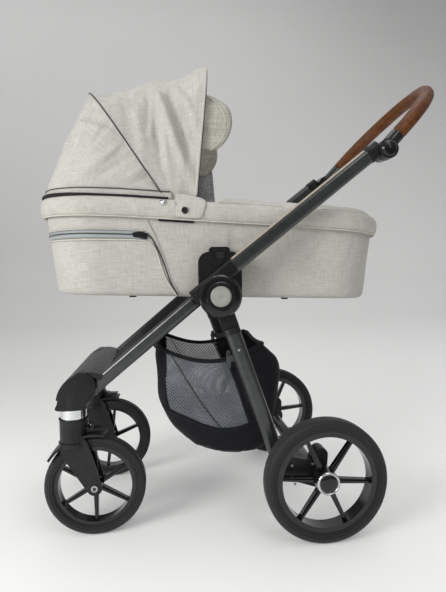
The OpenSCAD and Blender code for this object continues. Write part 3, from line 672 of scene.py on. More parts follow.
def make_cot():
    """Shell of the cot: outside from the middle of the base up, then its inside down again."""
    n = 260
    rows = [(0.19, 1, 0.0), (0.14, 1, 0.0), (0.09, 1, 0.0), (0.06, 1, 0.0), (0.048, 1, 0.001),
            (0.041, 1, 0.004), (0.037, 1, 0.009), (0.035, 1, 0.016)]
    P = [ring_at(i, w, d, n) for i, w, d in rows]
    low = ring_at(0.035, 1, 0.016, n)
    high = ring_at(0.012, 0, -0.012, n)
    for t in np.linspace(0.07, 1, 22):
        P.append(low + (high - low) * t)
    for i, w, d in [(0.013, 0, -0.007), (0.017, 0, -0.004), (0.021, 0, -0.007), (0.0215, 0, -0.014)]:
        P.append(ring_at(i, w, d, n))
    a, b = ring_at(0.0215, 0, -0.014, n), ring_at(0.0355, 1, 0.016, n)
    for t in np.linspace(0.12, 1, 9):
        P.append(a + (b - a) * t)
    for i, d in [(0.04, 0.009), (0.06, 0.008), (0.12, 0.008), (0.19, 0.008)]:
        P.append(ring_at(i, 1, d, n))
    P = np.array(P)
    # soft fabric: broad waves, a crease over each adaptor, and drag lines under the rim
    wall = slice(7, 31)
    Q = P[wall]
    N = normals(Q.transpose(1, 0, 2)).transpose(1, 0, 2)
    out = np.sign((N[..., :1] * (Q[..., :1] - COT_X - AX)) + N[..., 1:2] * Q[..., 1:2])
    N = N * np.where(out == 0, 1, out)
    x, z = Q[..., 0] - AX, Q[..., 2]
    d = wobble(Q, 9, 0.0015) + wobble(Q, 26, 0.0007, 5)
    d += -0.004 * bell(x, -0.196, 0.009) * smooth(0.75, 0.71, z) * smooth(0.64, 0.68, z)
    d += 0.0024 * bell(x, -0.207, 0.010) * smooth(0.75, 0.70, z)
    for a, b, c in ((-0.335, 0.735, 0.35), (-0.29, 0.70, -0.5), (0.02, 0.69, 0.9), (0.12, 0.70, 1.2)):
        d += -0.0026 * bell((x - a) * math.sin(c) - (z - b) * math.cos(c), 0, 0.0045) * bell(x - a, 0, 0.05)
    P[wall] = Q + N * (d * smooth(0, 4, np.arange(24))[:, None])[..., None]
    ob = loop_mesh("cot_body_fabric", P, "linen", close_u=False, caps=True)
    add(ob, "cot")
    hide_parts("cot_shell")


def wall_point(x, z, out):
    """Point on the near wall of the cot (y < 0) at x and z, moved out by out."""
    dx = x - COT_X
    zb = BASE_Z + 0.016 - dx * BASE_TILT
    zt = TOP_Z - 0.012 - dx * RIM_TILT - float(droop(dx))
    f = min(max((z - zb) / (zt - zb), 0), 1)
    inset = 0.035 - 0.023 * f - out
    R = COT_R - inset
    W = COT_W / 2 - inset
    cx = COT_L / 2 - COT_R
    over = max(abs(dx) - cx, 0)
    y = W - R + math.sqrt(max(R * R - over * over, 1e-8))
    return x, -y, z


def on_wall(points, out, n):
    """Resampled run of points on the near wall, in the part's frame."""
    xz = resample([(p[0], p[1]) for p in points], n)
    return np.array([at(*wall_point(x, z, out)) for x, z in xz])


def mirrored(P):
    Q = np.array(P, float).copy()
    Q[..., 1] *= -1
    return Q


def make_rim():
    n = 300
    profile = [(0.0118, -0.046), (0.007, -0.0445), (0.0025, -0.036), (0.0005, -0.024), (0.001, -0.012),
               (0.0045, -0.003), (0.0105, 0.001), (0.0165, 0.0), (0.0205, -0.005), (0.0205, -0.012),
               (0.0145, -0.014), (0.0126, -0.03)]
    P = np.array([ring_at(i, 0, d, n) for i, d in profile])
    x, y = P[..., 0] - AX, P[..., 1]
    centre = np.stack([np.full_like(x, COT_X + AX), np.zeros_like(y), np.zeros_like(y)], axis=-1)
    ends = smooth(0.30, 0.45, np.abs(x - COT_X))
    out = P - centre
    out[..., 2] = 0
    out /= np.maximum(np.linalg.norm(out, axis=-1, keepdims=True), 1e-9)
    body = np.array([0, 0.6, 1, 1, 1, 0.8, 0.4, 0, 0, 0, 0, 0])[:, None]
    s = np.arange(n) * (2.3 / n)
    ripple = 0.0011 * np.sin(s * 190 + 3 * np.sin(s * 21)) * smooth(-0.30, -0.05, x)
    ripple = ripple + wobble(P, 22, 0.0012, 3)
    P = P + out * ((ripple + 0.001 * ends) * body)[..., None]
    ob = loop_mesh("cot_rim_band", P, "linen_trim")
    add(ob, "cot")
    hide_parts("cot_rim")
    edge = ring_at(0.0062, 0, -0.0455, 200)
    piping = tube("rim_piping", edge, 0.0016, "pale_cord", closed=True, sides=8)
    add(piping, "cot")


# x of the apron's two ends, and its creases: x, y, angle, width, length, height
APRON = (-0.246, 0.2135)
APRON_CREASES = (
    (0.13, 0.05, 0.5, 0.010, 0.07, -0.003), (0.16, -0.06, 2.3, 0.009, 0.06, -0.003),
    (0.18, 0.0, 1.4, 0.009, 0.08, 0.0025), (0.05, 0.08, 0.2, 0.014, 0.10, -0.002),
    (-0.12, -0.05, 0.3, 0.013, 0.10, -0.002), (-0.2, 0.06, 1.7, 0.012, 0.09, -0.0025),
    (0.1, -0.12, 1.1, 0.010, 0.05, -0.003), (0.0, -0.14, 1.3, 0.010, 0.05, -0.002),
    (-0.1, -0.15, 1.5, 0.010, 0.04, -0.002), (0.19, 0.1, 0.9, 0.010, 0.06, -0.003))


def make_apron():
    """Crowned pad over the foot half of the cot."""
    head, foot = APRON
    xs = np.linspace(head, foot, 96)
    inset = 0.006
    R = COT_R - inset
    over = np.maximum(xs - COT_X - (COT_L / 2 - COT_R), 0)
    half = COT_W / 2 - inset - R + np.sqrt(np.maximum(R * R - over * over, 1e-9))
    v = np.linspace(-1, 1, 61)
    X = np.repeat(xs[:, None], len(v), 1)
    Y = half[:, None] * np.sin(v * math.pi / 2)[None, :]
    edge = np.minimum(half[:, None] - np.abs(Y), np.minimum(foot - X + 0.004, X - head + 0.002))
    lift = 0.0125 * smooth(0, 0.045, edge) + 0.003 * smooth(0.02, 0.15, edge)
    top = np.stack([X + AX, Y, rim_top(X) + lift + 0.0015], axis=2)
    low = np.stack([X + AX, Y, rim_top(X) - 0.001], axis=2)
    verts = np.concatenate([top.reshape(-1, 3), low.reshape(-1, 3)])
    ob = link_mesh("cot_apron", verts, slab_faces(*X.shape), "linen_trim")
    fix_normals(ob)
    inflate(ob, 0.0055, 0.0055)
    co = np.array([q.co for q in ob.data.vertices])
    x, y, z = co[:, 0] - AX, co[:, 1], co[:, 2]
    up = smooth(-0.002, 0.010, z - rim_top(x))
    d = np.zeros(len(co))
    for cx, cy, a, w, l, h in APRON_CREASES:
        d += h * crease(x, y, cx, cy, a, w, l)
    inside = np.minimum(np.interp(x, xs, half) - np.abs(y), np.minimum(foot - x, x - head))
    soft = (d + wobble(co, 14, 0.0022, 2)) * smooth(0.008, 0.034, inside)
    for q, dz in zip(ob.data.vertices, up * soft):
        q.co.z += dz
    top_uv(ob)
    add(ob, "cot")
    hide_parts("apron")


def make_mattress():
    profile = [(0.19, 0.010), (0.1, 0.010), (0.05, 0.010), (0.045, 0.012), (0.042, 0.018),
               (0.0415, 0.026), (0.043, 0.034), (0.048, 0.038), (0.08, 0.040), (0.19, 0.040)]
    P = np.array([ring_at(i, 1, d, 150, False) for i, d in profile])
    ob = loop_mesh("cot_mattress", P, "mattress_cover", close_u=False, caps=True)
    inflate(ob, 0.006, 0.005, subdivide=False)
    top_uv(ob)
    add(ob, "cot")
    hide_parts("mattress")


# ---------------------------------------------------------------- hood

# hinge of the bows in x and z, the direction across the middle bow, half the hood's width, and the bows' leans
AXIS = np.array([-0.340, 0.785])
HALF_W = 0.1835
MID_LEAN = math.radians(33.8)
LIP_LEAN = math.radians(-6.0)
LIP_X = -0.285


def arch(s, w, h, corner):
    """Point of an arch at s from 0 (left foot) to 1 (right foot): across, up."""
    straight = h - corner
    top = 2 * (w - corner)
    arc = corner * math.pi / 2
    total = 2 * straight + 2 * arc + top
    d = np.asarray(s, float) * total
    y = np.zeros_like(d)
    z = np.zeros_like(d)
    a = d < straight
    y[a], z[a] = -w, d[a]
    b = (d >= straight) & (d < straight + arc)
    t = (d[b] - straight) / corner
    y[b], z[b] = -(w - corner) - corner * np.cos(t), straight + corner * np.sin(t)
    c = (d >= straight + arc) & (d <= straight + arc + top)
    y[c], z[c] = -(w - corner) + (d[c] - straight - arc), h
    e = (d > straight + arc + top) & (d <= straight + 2 * arc + top)
    t = (d[e] - straight - arc - top) / corner
    y[e], z[e] = (w - corner) + corner * np.sin(t), straight + corner * np.cos(t)
    f = d > straight + 2 * arc + top
    y[f], z[f] = w, np.maximum(total - d[f], 0)
    return y, z


def mid_arch(s, out=0.0):
    y, h = arch(s, HALF_W + out, 0.3615 + out, 0.125)
    return np.stack([AXIS[0] - h * math.sin(MID_LEAN) + AX, y, AXIS[1] + h * math.cos(MID_LEAN)], axis=-1)


def lip_arch(s, out=0.0, shift=0.0):
    y, h = arch(s, HALF_W - 0.003 + out, 0.3805 + out, 0.135)
    x = LIP_X + shift - h * math.sin(LIP_LEAN) + AX
    return np.stack([x, y, AXIS[1] + h * math.cos(LIP_LEAN)], axis=-1)


def head_curve(s, inset, dz):
    """Curve along the rim's inside from the hood's near foot round the head end to its far foot."""
    pts = outline(inset, 1200)
    keep = pts[pts[:, 0] < (AXIS[0] - COT_X)][::-1]
    d = run_length(keep)
    x = np.interp(s * d[-1], d, keep[:, 0]) + COT_X
    y = np.interp(s * d[-1], d, keep[:, 1])
    return np.stack([x + AX, y, rim_top(x) + dz], axis=-1)


# creases of the back cloth: x, z, angle, width, length, height
BACK_CREASES = (
    (-0.545, 1.000, -0.28, 0.006, 0.050, -0.0060), (-0.545, 0.988, -0.30, 0.007, 0.050, 0.0045),
    (-0.500, 0.965, 0.85, 0.007, 0.045, -0.0035), (-0.555, 0.945, 1.05, 0.010, 0.050, 0.0040),
    (-0.590, 0.900, 1.15, 0.010, 0.055, -0.0030), (-0.500, 0.900, 0.65, 0.009, 0.060, 0.0035),
    (-0.470, 0.885, 0.55, 0.008, 0.050, -0.0030), (-0.415, 0.875, 0.50, 0.007, 0.035, 0.0030),
    (-0.400, 0.858, 0.42, 0.006, 0.030, -0.0030), (-0.450, 0.930, 0.75, 0.010, 0.050, -0.0030),
    (-0.600, 0.985, 1.10, 0.010, 0.050, -0.0020), (-0.520, 1.045, 0.20, 0.010, 0.050, 0.0020))


def back_surface():
    """Back cloth of the hood, from the middle bow to the head end of the rim."""
    s = np.linspace(0, 1, 150)
    M = mid_arch(s)
    H = head_curve(s, 0.0145, 0.020)
    t = np.linspace(0, 1, 54)[None, :, None]
    P = M[:, None] * (1 - t) + H[:, None] * t
    mid = np.abs(s[:, None] - 0.5)
    bulge = np.sin(math.pi * t[..., 0]) * (0.006 + 0.004 * (mid < 0.2))
    N = outward(P, (-0.45 + AX, 0, 0.86))
    x, y, z = P[..., 0] - AX, P[..., 1], P[..., 2]
    side = smooth(0.09, 0.15, np.abs(y))
    d = bulge * 0.6
    d += wobble(P, 7, 0.004) + wobble(P, 17, 0.003, 4) + wobble(P * (1.0, 1.0, 2.2), 24, 0.0016, 7)
    for cx, cz, a, w, l, h in BACK_CREASES:
        d += 1.5 * h * crease(x, z, cx, cz, a, w, l) * side
    fade = smooth(0, 0.06, t[..., 0]) * smooth(1.0, 0.94, t[..., 0])
    fade = fade * (smooth(0, 0.05, s) * smooth(1, 0.95, s))[:, None]
    P = P + N * (d * fade)[..., None]
    # band below the seam, straight down into the rim
    band = ((0.0138, 0.014), (0.0132, 0.006), (0.0150, -0.004), (0.0225, -0.006))
    rows = [head_curve(s, i, h) for i, h in band]
    return np.concatenate([P, np.array(rows).transpose(1, 0, 2)], axis=1)


# sag of the front cloth between the bows
SAG_T = [0, 0.12, 0.29, 0.41, 0.53, 0.65, 0.77, 0.865, 0.925, 1.0]
SAG_D = [0, 0.008, 0.0135, 0.009, 0.007, 0.011, 0.012, 0.004, -0.001, 0]


# folds that fan from the crown to the foot of the lip: start x, z, end x, z, width, height
FRONT_FOLDS = (
    (-0.372, 1.075, -0.300, 0.860, 0.010, 0.0085), (-0.392, 1.060, -0.372, 0.930, 0.009, -0.0060),
    (-0.345, 1.070, -0.292, 0.900, 0.009, -0.0070), (-0.383, 1.080, -0.385, 0.940, 0.006, 0.0050),
    (-0.330, 1.100, -0.283, 0.990, 0.008, 0.0040), (-0.420, 1.030, -0.400, 0.900, 0.011, 0.0040),
    (-0.355, 0.960, -0.350, 0.880, 0.007, 0.0040), (-0.365, 0.950, -0.362, 0.880, 0.006, -0.0035),
    (-0.310, 1.040, -0.282, 0.940, 0.008, -0.0040), (-0.450, 1.040, -0.430, 0.960, 0.010, -0.0025))
# pulls over the crown: x, y, angle, width, length, height
CROWN_PULLS = (
    (-0.445, -0.09, 0.8, 0.008, 0.028, -0.005), (-0.36, -0.10, 0.4, 0.008, 0.035, 0.005),
    (-0.335, -0.09, -0.5, 0.007, 0.028, -0.005), (-0.36, 0.03, 0.5, 0.010, 0.05, 0.004),
    (-0.42, 0.06, -0.5, 0.010, 0.05, -0.003), (-0.31, 0.08, 0.3, 0.009, 0.04, 0.004),
    (-0.40, -0.03, 1.4, 0.010, 0.05, -0.003), (-0.34, -0.02, 1.2, 0.008, 0.04, -0.003))


def front_surface():
    """Front cloth of the hood, from the middle bow to the lip."""
    s = np.linspace(0, 1, 170)
    M = mid_arch(s)
    L = lip_arch(s)
    t1 = np.linspace(0, 1, 80)
    t = t1[None, :, None]
    P = M[:, None] * (1 - t) + L[:, None] * t
    N = outward(P, (-0.36 + AX, 0, 0.95))
    x, y, z = P[..., 0] - AX, P[..., 1], P[..., 2]
    crown = smooth(0.97, 1.10, z)
    sag = np.interp(t1, SAG_T, SAG_D)[None, :]
    d = -sag * (0.25 + 0.75 * crown)
    side = smooth(0.10, 0.16, np.abs(y))
    top = smooth(1.05, 1.12, z)
    # folds that fan from the crown down to the foot of the lip
    for ax_, az, bx, bz, w, h in FRONT_FOLDS:
        L1 = math.hypot(bx - ax_, bz - az)
        ux, uz = (bx - ax_) / L1, (bz - az) / L1
        u = (x - ax_) * ux + (z - az) * uz
        v = -(x - ax_) * uz + (z - az) * ux
        along = smooth(-0.02, 0.03, u) * smooth(L1 + 0.03, L1 - 0.04, u)
        d += 1.3 * h * bell(v, 0, w * (1 + 0.6 * np.clip(u / L1, 0, 1))) * along * side
    # small pulls over the crown, where the sheet hangs between the bows
    for cx, cy, a, w, l, h in CROWN_PULLS:
        d += h * crease(x, y, cx, cy, a, w, l) * crown
    d += wobble(P, 8, 0.003, 9) + wobble(P, 22, 0.003, 1) * (0.5 + 0.5 * top)
    d += wobble(P * (2.0, 1.0, 0.9), 30, 0.0018, 3)
    fade = smooth(0, 0.07, t1) * smooth(1.0, 0.90, t1)
    fade = fade[None, :] * smooth(0, 0.04, s)[:, None] * smooth(1, 0.96, s)[:, None]
    d = d * fade
    P = P + N * d[..., None]
    # rolled hem round the lip
    t_hem = smooth(0.93, 0.985, t1)[None, :, None]
    P = P + N * 0.0022 * t_hem
    return P


def outward(P, centre):
    N = normals(P)
    flip = np.sign(((P - np.array(centre)) * N).sum(axis=2, keepdims=True))
    flip[flip == 0] = 1
    return N * flip


def make_hood():
    P = back_surface()
    back = sheet_mesh("hood_back_cloth", P, "linen", 0.0026, outward(P, (-0.45 + AX, 0, 0.88)))
    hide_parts("hood_panel_back")
    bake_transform(back)
    F = front_surface()
    front = sheet_mesh("hood_front_cloth", F, "linen", 0.0026, outward(F, (-0.36 + AX, 0, 0.95)))
    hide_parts("hood_panel_front")
    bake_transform(front)

    # piping along the middle seam and the hem of the lip
    s = np.linspace(0.012, 0.988, 150)
    M = mid_arch(s, 0.0008)
    seam = tube("hood_seam_piping", M, 0.0016, "dark_cord", sides=8)
    add(seam, "hood_middle")
    L = lip_arch(np.linspace(0.03, 0.97, 150), 0.0012, -0.001)
    hem = tube("hood_lip_hem", L, 0.0030, "linen_trim", sides=10)
    add(hem, "hood_front")

    # lower band: seam line above; below it a near-black tube, painted shade for the gap at the zip, wider
    # towards the head end
    s = np.linspace(0.004, 0.996, 160)
    line = tube("hood_band_seam", head_curve(s, 0.0128, 0.0195), 0.0012, "dark_cord", sides=8)
    add(line, "cot")
    H = head_curve(np.linspace(0.01, 0.99, 160), 0.0092, 0.0035)
    x = H[:, 0] - AX
    zip_gap_shade = tube("hood_zip_gap_shade", H, 0.0026 + 0.0034 * smooth(-0.50, -0.66, x), "painted_gap_shade", sides=8)
    add(zip_gap_shade, "cot")

    # dark lining on the inside of the lip, and the grey panel that hangs inside its far side
    y, h = arch(np.linspace(0.015, 0.985, 140), HALF_W - 0.0075, 0.3725, 0.1285)
    rows = [np.stack([LIP_X + dx + h * math.sin(-LIP_LEAN) + AX, y, AXIS[1] + h], axis=-1)
            for dx in (-0.008, -0.002, 0.004)]
    lining = sheet_mesh("lip_lining", np.array(rows).transpose(1, 0, 2), "dark_cord", 0.0012)
    add(lining, "hood_front")
    z = np.linspace(0.826, 1.010, 30)[:, None]
    u = np.linspace(0, 1, 16)[None, :]
    x0 = -0.279 - (AXIS[1] - z) * math.sin(-LIP_LEAN)
    x1 = np.interp(z, [0.826, 0.85, 0.938, 0.985, 1.010], [-0.199, -0.200, -0.206, -0.214, -0.235])
    X = x0 + (x1 - x0) * u
    Y = 0.1735 - 0.004 * np.sin(math.pi * u) + 0.0015 * np.sin(9 * u + 14 * z)
    panel = sheet_mesh("hood_inner_panel", np.stack([X + AX, Y, z + 0 * u], axis=2), "linen_inner", 0.002)
    add(panel, "hood_front")


def make_visor():
    """Flap inside the lip: two half-moon cheeks joined by a strip under the crown."""
    n = 140
    s = np.linspace(0.155, 0.845, n)
    y, h = arch(s, 0.1665, 0.352, 0.118)
    lean = math.sin(-LIP_LEAN)
    base = np.stack([-0.296 + h * lean + AX, y, AXIS[1] + h], axis=1)
    z = base[:, 2]
    side = smooth(1.10, 1.03, z)
    moon = np.sqrt(np.clip(1 - ((z - 0.991) / 0.072) ** 2, 0, 1))
    # how far the flap reaches towards the handle: half-moon at the cheeks, a narrow strip above
    reach = 0.016 + 0.068 * moon * side
    back = 0.020 + 0.02 * side * moon
    inwards = np.stack([np.zeros(n), -y / 0.1665, -1.0 * (h > 0.33)], axis=1)
    inwards /= np.maximum(np.linalg.norm(inwards, axis=1, keepdims=True), 1e-9)
    rows = []
    for f in np.linspace(-1, 1, 19):
        off = np.where(f < 0, f * back, f * reach)
        puff = 0.005 * np.sqrt(max(1 - f * f, 0))
        rows.append(base + np.stack([off, np.zeros(n), np.zeros(n)], axis=1) - inwards * puff * 0.6)
    P = np.array(rows).transpose(1, 0, 2)
    # the flap takes the darker linen copy, which is painted shade for its place inside the lip
    ob = sheet_mesh("visor_flap", P, "linen_painted_shade", 0.004, outward(P, (-0.29 + AX, 0, 1.0)))
    off = Vector((math.cos(LIP_LEAN), 0, math.sin(LIP_LEAN)))
    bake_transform(ob)
    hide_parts("visor")
    for sign, name in ((-1, "near"), (1, "far")):
        for k, inset in enumerate((0.010, 0.0)):
            a = np.radians(np.linspace(-64, 70, 40))
            r = 0.068 - inset
            pts = np.stack([-0.275 + (r + 0.003) * np.cos(a) + AX - 0.002, np.full(40, sign * 0.1682),
                            0.991 + r * np.sin(a) * 1.03], axis=1)
            p = tube(f"visor_piping_{name}_{k}", pts, 0.0015 if k else 0.001, "linen_trim", sides=8)
            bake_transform(p)


# ---------------------------------------------------------------- trim on the cot's sides

# runs along the cot's wall: name, points in x and z, radius or half width, height off the wall, material
WALL_RUNS = (
    ("zip_tape", [(-0.655, 0.726), (-0.56, 0.7275), (-0.45, 0.7255), (-0.410, 0.7225)],
     0.0095, 0.0012, "zip_tape"),
    ("zip_teeth", [(-0.655, 0.7275), (-0.56, 0.7285), (-0.45, 0.7255), (-0.412, 0.7225)],
     0.0016, 0.0026, "dark_cord"),
    ("pocket_welt_top", [(-0.655, 0.737), (-0.56, 0.738), (-0.45, 0.736), (-0.408, 0.732)],
     0.0014, 0.0018, "linen_trim"),
    ("pocket_welt", [(-0.655, 0.7145), (-0.56, 0.7135), (-0.45, 0.7125), (-0.413, 0.7105), (-0.395, 0.704),
                     (-0.383, 0.690), (-0.375, 0.667), (-0.367, 0.640), (-0.355, 0.610), (-0.334, 0.577)],
     0.0019, 0.0026, "pale_cord"),
    ("pocket_zip", [(-0.402, 0.728), (-0.391, 0.715), (-0.379, 0.693), (-0.368, 0.668), (-0.357, 0.636),
                    (-0.345, 0.602), (-0.330, 0.576)],
     0.0017, 0.0018, "dark_cord"),
    ("pocket_edge", [(-0.400, 0.757), (-0.386, 0.728), (-0.371, 0.690), (-0.359, 0.655), (-0.348, 0.620),
                     (-0.330, 0.584)],
     0.0013, 0.0014, "linen_trim"))
PULLER = [(-0.437, 0.7285), (-0.434, 0.7185), (-0.418, 0.716), (-0.405, 0.7125), (-0.399, 0.7175),
          (-0.401, 0.726), (-0.410, 0.7305), (-0.425, 0.7305)]
RIM_SLOT = [(-0.375, 0.7585), (-0.373, 0.7555), (-0.291, 0.7500), (-0.289, 0.7530), (-0.291, 0.7545),
            (-0.373, 0.7600)]
COVER_TAB = [(-0.332, 0.812), (-0.322, 0.8195), (-0.300, 0.8165), (-0.262, 0.8045), (-0.266, 0.776),
             (-0.272, 0.7635), (-0.29, 0.7610), (-0.325, 0.7640), (-0.333, 0.7690)]
# turned snaps: (radius, distance outwards)
BALL_SNAP = [(0.0001, 0), (0.006, 0), (0.0075, 0.002), (0.0068, 0.0045), (0.004, 0.007), (0.0001, 0.008)]
TAB_SNAP = [(0.0001, 0), (0.0078, 0), (0.0080, 0.0016), (0.0066, 0.0024), (0.0052, 0.0014), (0.0001, 0.001)]


def outwards(profile, sign):
    """Profile along +Y turned to the side of sign."""
    return [(r, sign * d) for r, d in profile]


def make_side_trim():
    for name, pts, r, out, mat in WALL_RUNS:
        line = on_wall(pts, out, 90)
        for side, P in (("near", line), ("far", mirrored(line))):
            if name == "zip_tape":
                ob = wall_strip(f"{name}_{side}", P, r, mat)
            else:
                ob = tube(f"{name}_{side}", P, r, mat, sides=8, flat=0.9)
            add(ob, "cot")
    for sign, side in ((-1, "near"), (1, "far")):
        def follow(co, sign=sign):
            for p in co:
                y = wall_point(p[0] - AX, p[2], 0.002)[1]
                p[1] = sign * (-y + abs(p[1]))
            return co
        pull = plate("zip_puller_" + side, PULLER, 0.0, 0.004, "black_plastic", 0.0014, follow)
        add(pull, "cot")
        bar = plate("rim_slot_" + side, RIM_SLOT, 0.0, 0.0035, "black_plastic", 0.0007, follow)
        add(bar, "cot")
    # silver ball snap and fabric tab with its dark snap
    for sign, side in ((-1, "near"), (1, "far")):
        ball = lathe("ball_snap_" + side, outwards(BALL_SNAP, sign), at(-0.362, sign * 0.1945, 0.798),
                     "chrome", 32)
        add(ball, "cot")
        tab = plate("cover_tab_" + side, resample(COVER_TAB, 60, True), 0.0, 0.0022, "linen_trim", 0.0008,
                    lambda co, sign=sign: tab_warp(co, sign))
        add(tab, "cot")
        snap = lathe("tab_snap_" + side, outwards(TAB_SNAP, sign), at(-0.311, sign * 0.2018, 0.779),
                     "black_plastic", 36)
        add(snap, "cot")


def tab_warp(co, sign):
    """Lays the tab over the rim's outside and over its top edge."""
    for p in co:
        h = p[2] - rim_top(p[0] - AX)
        y = 0.1992 - 0.012 * float(smooth(-0.012, 0.010, h)) - 0.002 * float(smooth(-0.03, -0.045, h))
        p[1] = sign * (y + abs(p[1]))
    return co


def wall_strip(name, line, half, mat):
    """Flat tape on the wall, half wide each side of a line."""
    up = np.array([0, 0, half])
    P = np.stack([line + up * k for k in (-1, -0.3, 0.3, 1)], axis=1)
    return sheet_mesh(name, P, mat, 0.0008)


# ---------------------------------------------------------------- basket

# side view of the basket: its front and rear edges from the rim down, in x and z
BASKET_FRONT = [(-0.389, 0.450), (-0.388, 0.38), (-0.380, 0.30), (-0.354, 0.243), (-0.302, 0.199),
                (-0.235, 0.164)]
BASKET_REAR = [(-0.112, 0.448), (-0.070, 0.405), (-0.069, 0.35), (-0.086, 0.25), (-0.108, 0.182),
               (-0.165, 0.157)]
# lower edge of its mesh panels in x and z, and its drag folds: x, z, angle, width, height
MESH_EDGE = [(-0.373, 0.300), (-0.356, 0.287), (-0.307, 0.264), (-0.270, 0.246), (-0.227, 0.235),
             (-0.174, 0.239)]
DRAG_FOLDS = ((-0.20, 0.36, 0.9, 0.010, -0.004), (-0.15, 0.33, 1.1, 0.012, 0.005),
              (-0.27, 0.20, 0.35, 0.008, 0.004), (-0.21, 0.19, 0.25, 0.008, -0.004),
              (-0.13, 0.26, 1.4, 0.010, -0.004), (-0.31, 0.30, 2.2, 0.012, -0.003))
BASKET_SEAMS = (
    ("basket_seam_low", MESH_EDGE + [(-0.120, 0.262)]),
    ("basket_seam_diag", [(-0.352, 0.432), (-0.318, 0.372), (-0.282, 0.312), (-0.252, 0.268), (-0.228, 0.236)]),
    ("basket_seam_front", [(-0.366, 0.436), (-0.366, 0.37), (-0.364, 0.31), (-0.360, 0.290)]),
    ("basket_seam_rear", [(-0.212, 0.412), (-0.190, 0.36), (-0.168, 0.29), (-0.152, 0.243)]))


def make_basket():
    front, rear = resample(BASKET_FRONT, 200), resample(BASKET_REAR, 200)
    ts = np.linspace(0, 1, 34)
    F = np.stack([np.interp(ts, np.linspace(0, 1, 200), front[:, k]) for k in (0, 1)], axis=1)
    R = np.stack([np.interp(ts, np.linspace(0, 1, 200), rear[:, k]) for k in (0, 1)], axis=1)
    half = 0.163 - 0.010 * ts ** 3
    rows = []
    for i, t in enumerate(ts):
        L = R[i, 0] - F[i, 0]
        r = min(0.05, L * 0.3)
        w = half[i] - 0.03 * smooth(0.86, 1.0, t)
        cx = (R[i, 0] + F[i, 0]) / 2
        p = rounded(L, 2 * w, r, 160)
        u = (p[:, 0] + L / 2) / L
        z = F[i, 1] * (1 - u) + R[i, 1] * u
        # the rim and the walls under it hang between the corners
        belly = np.sin(math.pi * np.clip(u, 0, 1))
        z = z - belly * 0.040 * (1 - smooth(0, 0.5, t))
        side_mid = np.sin(math.pi * np.clip((p[:, 1] + w) / (2 * w), 0, 1)) * ((u < 0.02) | (u > 0.98))
        z = z - side_mid * 0.012 * (1 - smooth(0, 0.4, t))
        y = p[:, 1] * (1 + 0.02 * belly * math.sin(math.pi * min(t, 1)))
        rows.append(np.stack([p[:, 0] + cx + AX, y, z], axis=1))
    P = np.array(rows)
    # closed bottom, sagging a little
    last = P[-1]
    mid = last.mean(axis=0)
    for f in (0.75, 0.5, 0.25, 0.04):
        r = mid + (last - mid) * f
        r[:, 2] -= 0.004 * (1 - f)
        P = np.concatenate([P, r[None]], axis=0)
    x, y, z = P[..., 0] - AX, P[..., 1], P[..., 2]
    out = P - P.mean(axis=1, keepdims=True)
    out[..., 2] = 0
    out /= np.maximum(np.linalg.norm(out, axis=-1, keepdims=True), 1e-9)
    row = np.arange(len(P))
    fade = (smooth(0, 3, row) * smooth(len(P) - 4, len(P) - 9, row))[:, None]
    d = wobble(P, 13, 0.007) + wobble(P, 34, 0.0025, 2)
    # drag folds from the rear hook down to the front corner
    for cx, cz, a, w, h in DRAG_FOLDS:
        d += h * crease(x, z, cx, cz, a, w, 0.07)
    P = P + out * (d * fade)[..., None]
    ob = loop_mesh("basket_bag", P, "basket_fabric", close_u=False, caps="last")
    # mesh panels in both sides: faces between the rim and the middle seam
    ob.data.materials.append(MATS["basket_mesh"])
    for poly in ob.data.polygons:
        c = poly.center
        px, pz = c.x - AX, c.z
        lower = np.interp(px, [q[0] for q in MESH_EDGE], [q[1] for q in MESH_EDGE])
        rear_edge = np.interp(pz, [0.237, 0.42], [-0.150, -0.212])
        if abs(c.y) > 0.135 and px > -0.366 and pz > lower and px < rear_edge:
            poly.material_index = 1
    m = ob.modifiers.new("thick", "SOLIDIFY")
    m.thickness = 0.0016
    m.offset = -1
    bake(ob)
    add(ob, "chassis")
    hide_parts("basket")
    rim = P[0].copy()
    rim[:, 2] += 0.001
    trims = [tube("basket_elastic", rim, 0.0052, "basket_fabric", closed=True, sides=10)]
    for sign, side in ((-1, "near"), (1, "far")):
        flat = P.reshape(-1, 3)
        flat = flat[flat[:, 1] * sign > 0.10]
        for name, points in BASKET_SEAMS:
            pts = []
            for xx, zz in resample(points, 50):
                k = np.argmin((flat[:, 0] - AX - xx) ** 2 + (flat[:, 2] - zz) ** 2)
                pts.append((xx + AX, flat[k, 1] + sign * 0.0012, zz))
            pts = np.array(pts)
            pts[1:-1, 1] = (pts[:-2, 1] + pts[1:-1, 1] + pts[2:, 1]) / 3
            r, mat, flatness = 0.0048, "basket_fabric", 0.3
            if name == "basket_seam_diag":
                r, mat, flatness = 0.0016, "dark_cord", 1.0
            trims.append(tube(f"{name}_{side}", pts, r, mat, sides=8, flat=flatness, up=(0, 1, 0)))
    for piece in trims:
        add(piece, "chassis")


# ---------------------------------------------------------------- trim on the frame and wheels

def ring(name, centre, profile, mat):
    """Closed ring about an axis along Y: profile is a loop of (radius, distance along the axis)."""
    return loop_mesh(name, turned(centre, profile, 96), mat)


def bead(r, d, size):
    """Round section for a ring, at radius r and distance d."""
    a = np.linspace(0, 2 * math.pi, 8, endpoint=False)
    return [(r + size * math.cos(t), d + size * math.sin(t)) for t in a]


# profiles of (radius, distance outwards)
CAP_DOME = [(0.0001, 0.0045), (0.0212, 0.0045), (0.0214, 0.0058), (0.0195, 0.0074), (0.013, 0.0090),
            (0.006, 0.0098), (0.0001, 0.0100)]
CAP_RING = [(0.0222, 0.0045), (0.0224, 0.0062), (0.0240, 0.0068), (0.0264, 0.0056), (0.0272, 0.0034),
            (0.0272, 0.0008), (0.0240, 0.0008)]
# shallow hex cup whose near-black colour is painted shade for the bolt's hex recess
BOLT_RECESS_SHADE = [(0.0001, -0.001), (0.0044, -0.001), (0.0044, 0.0004), (0.0030, 0.0006), (0.0001, -0.0002)]


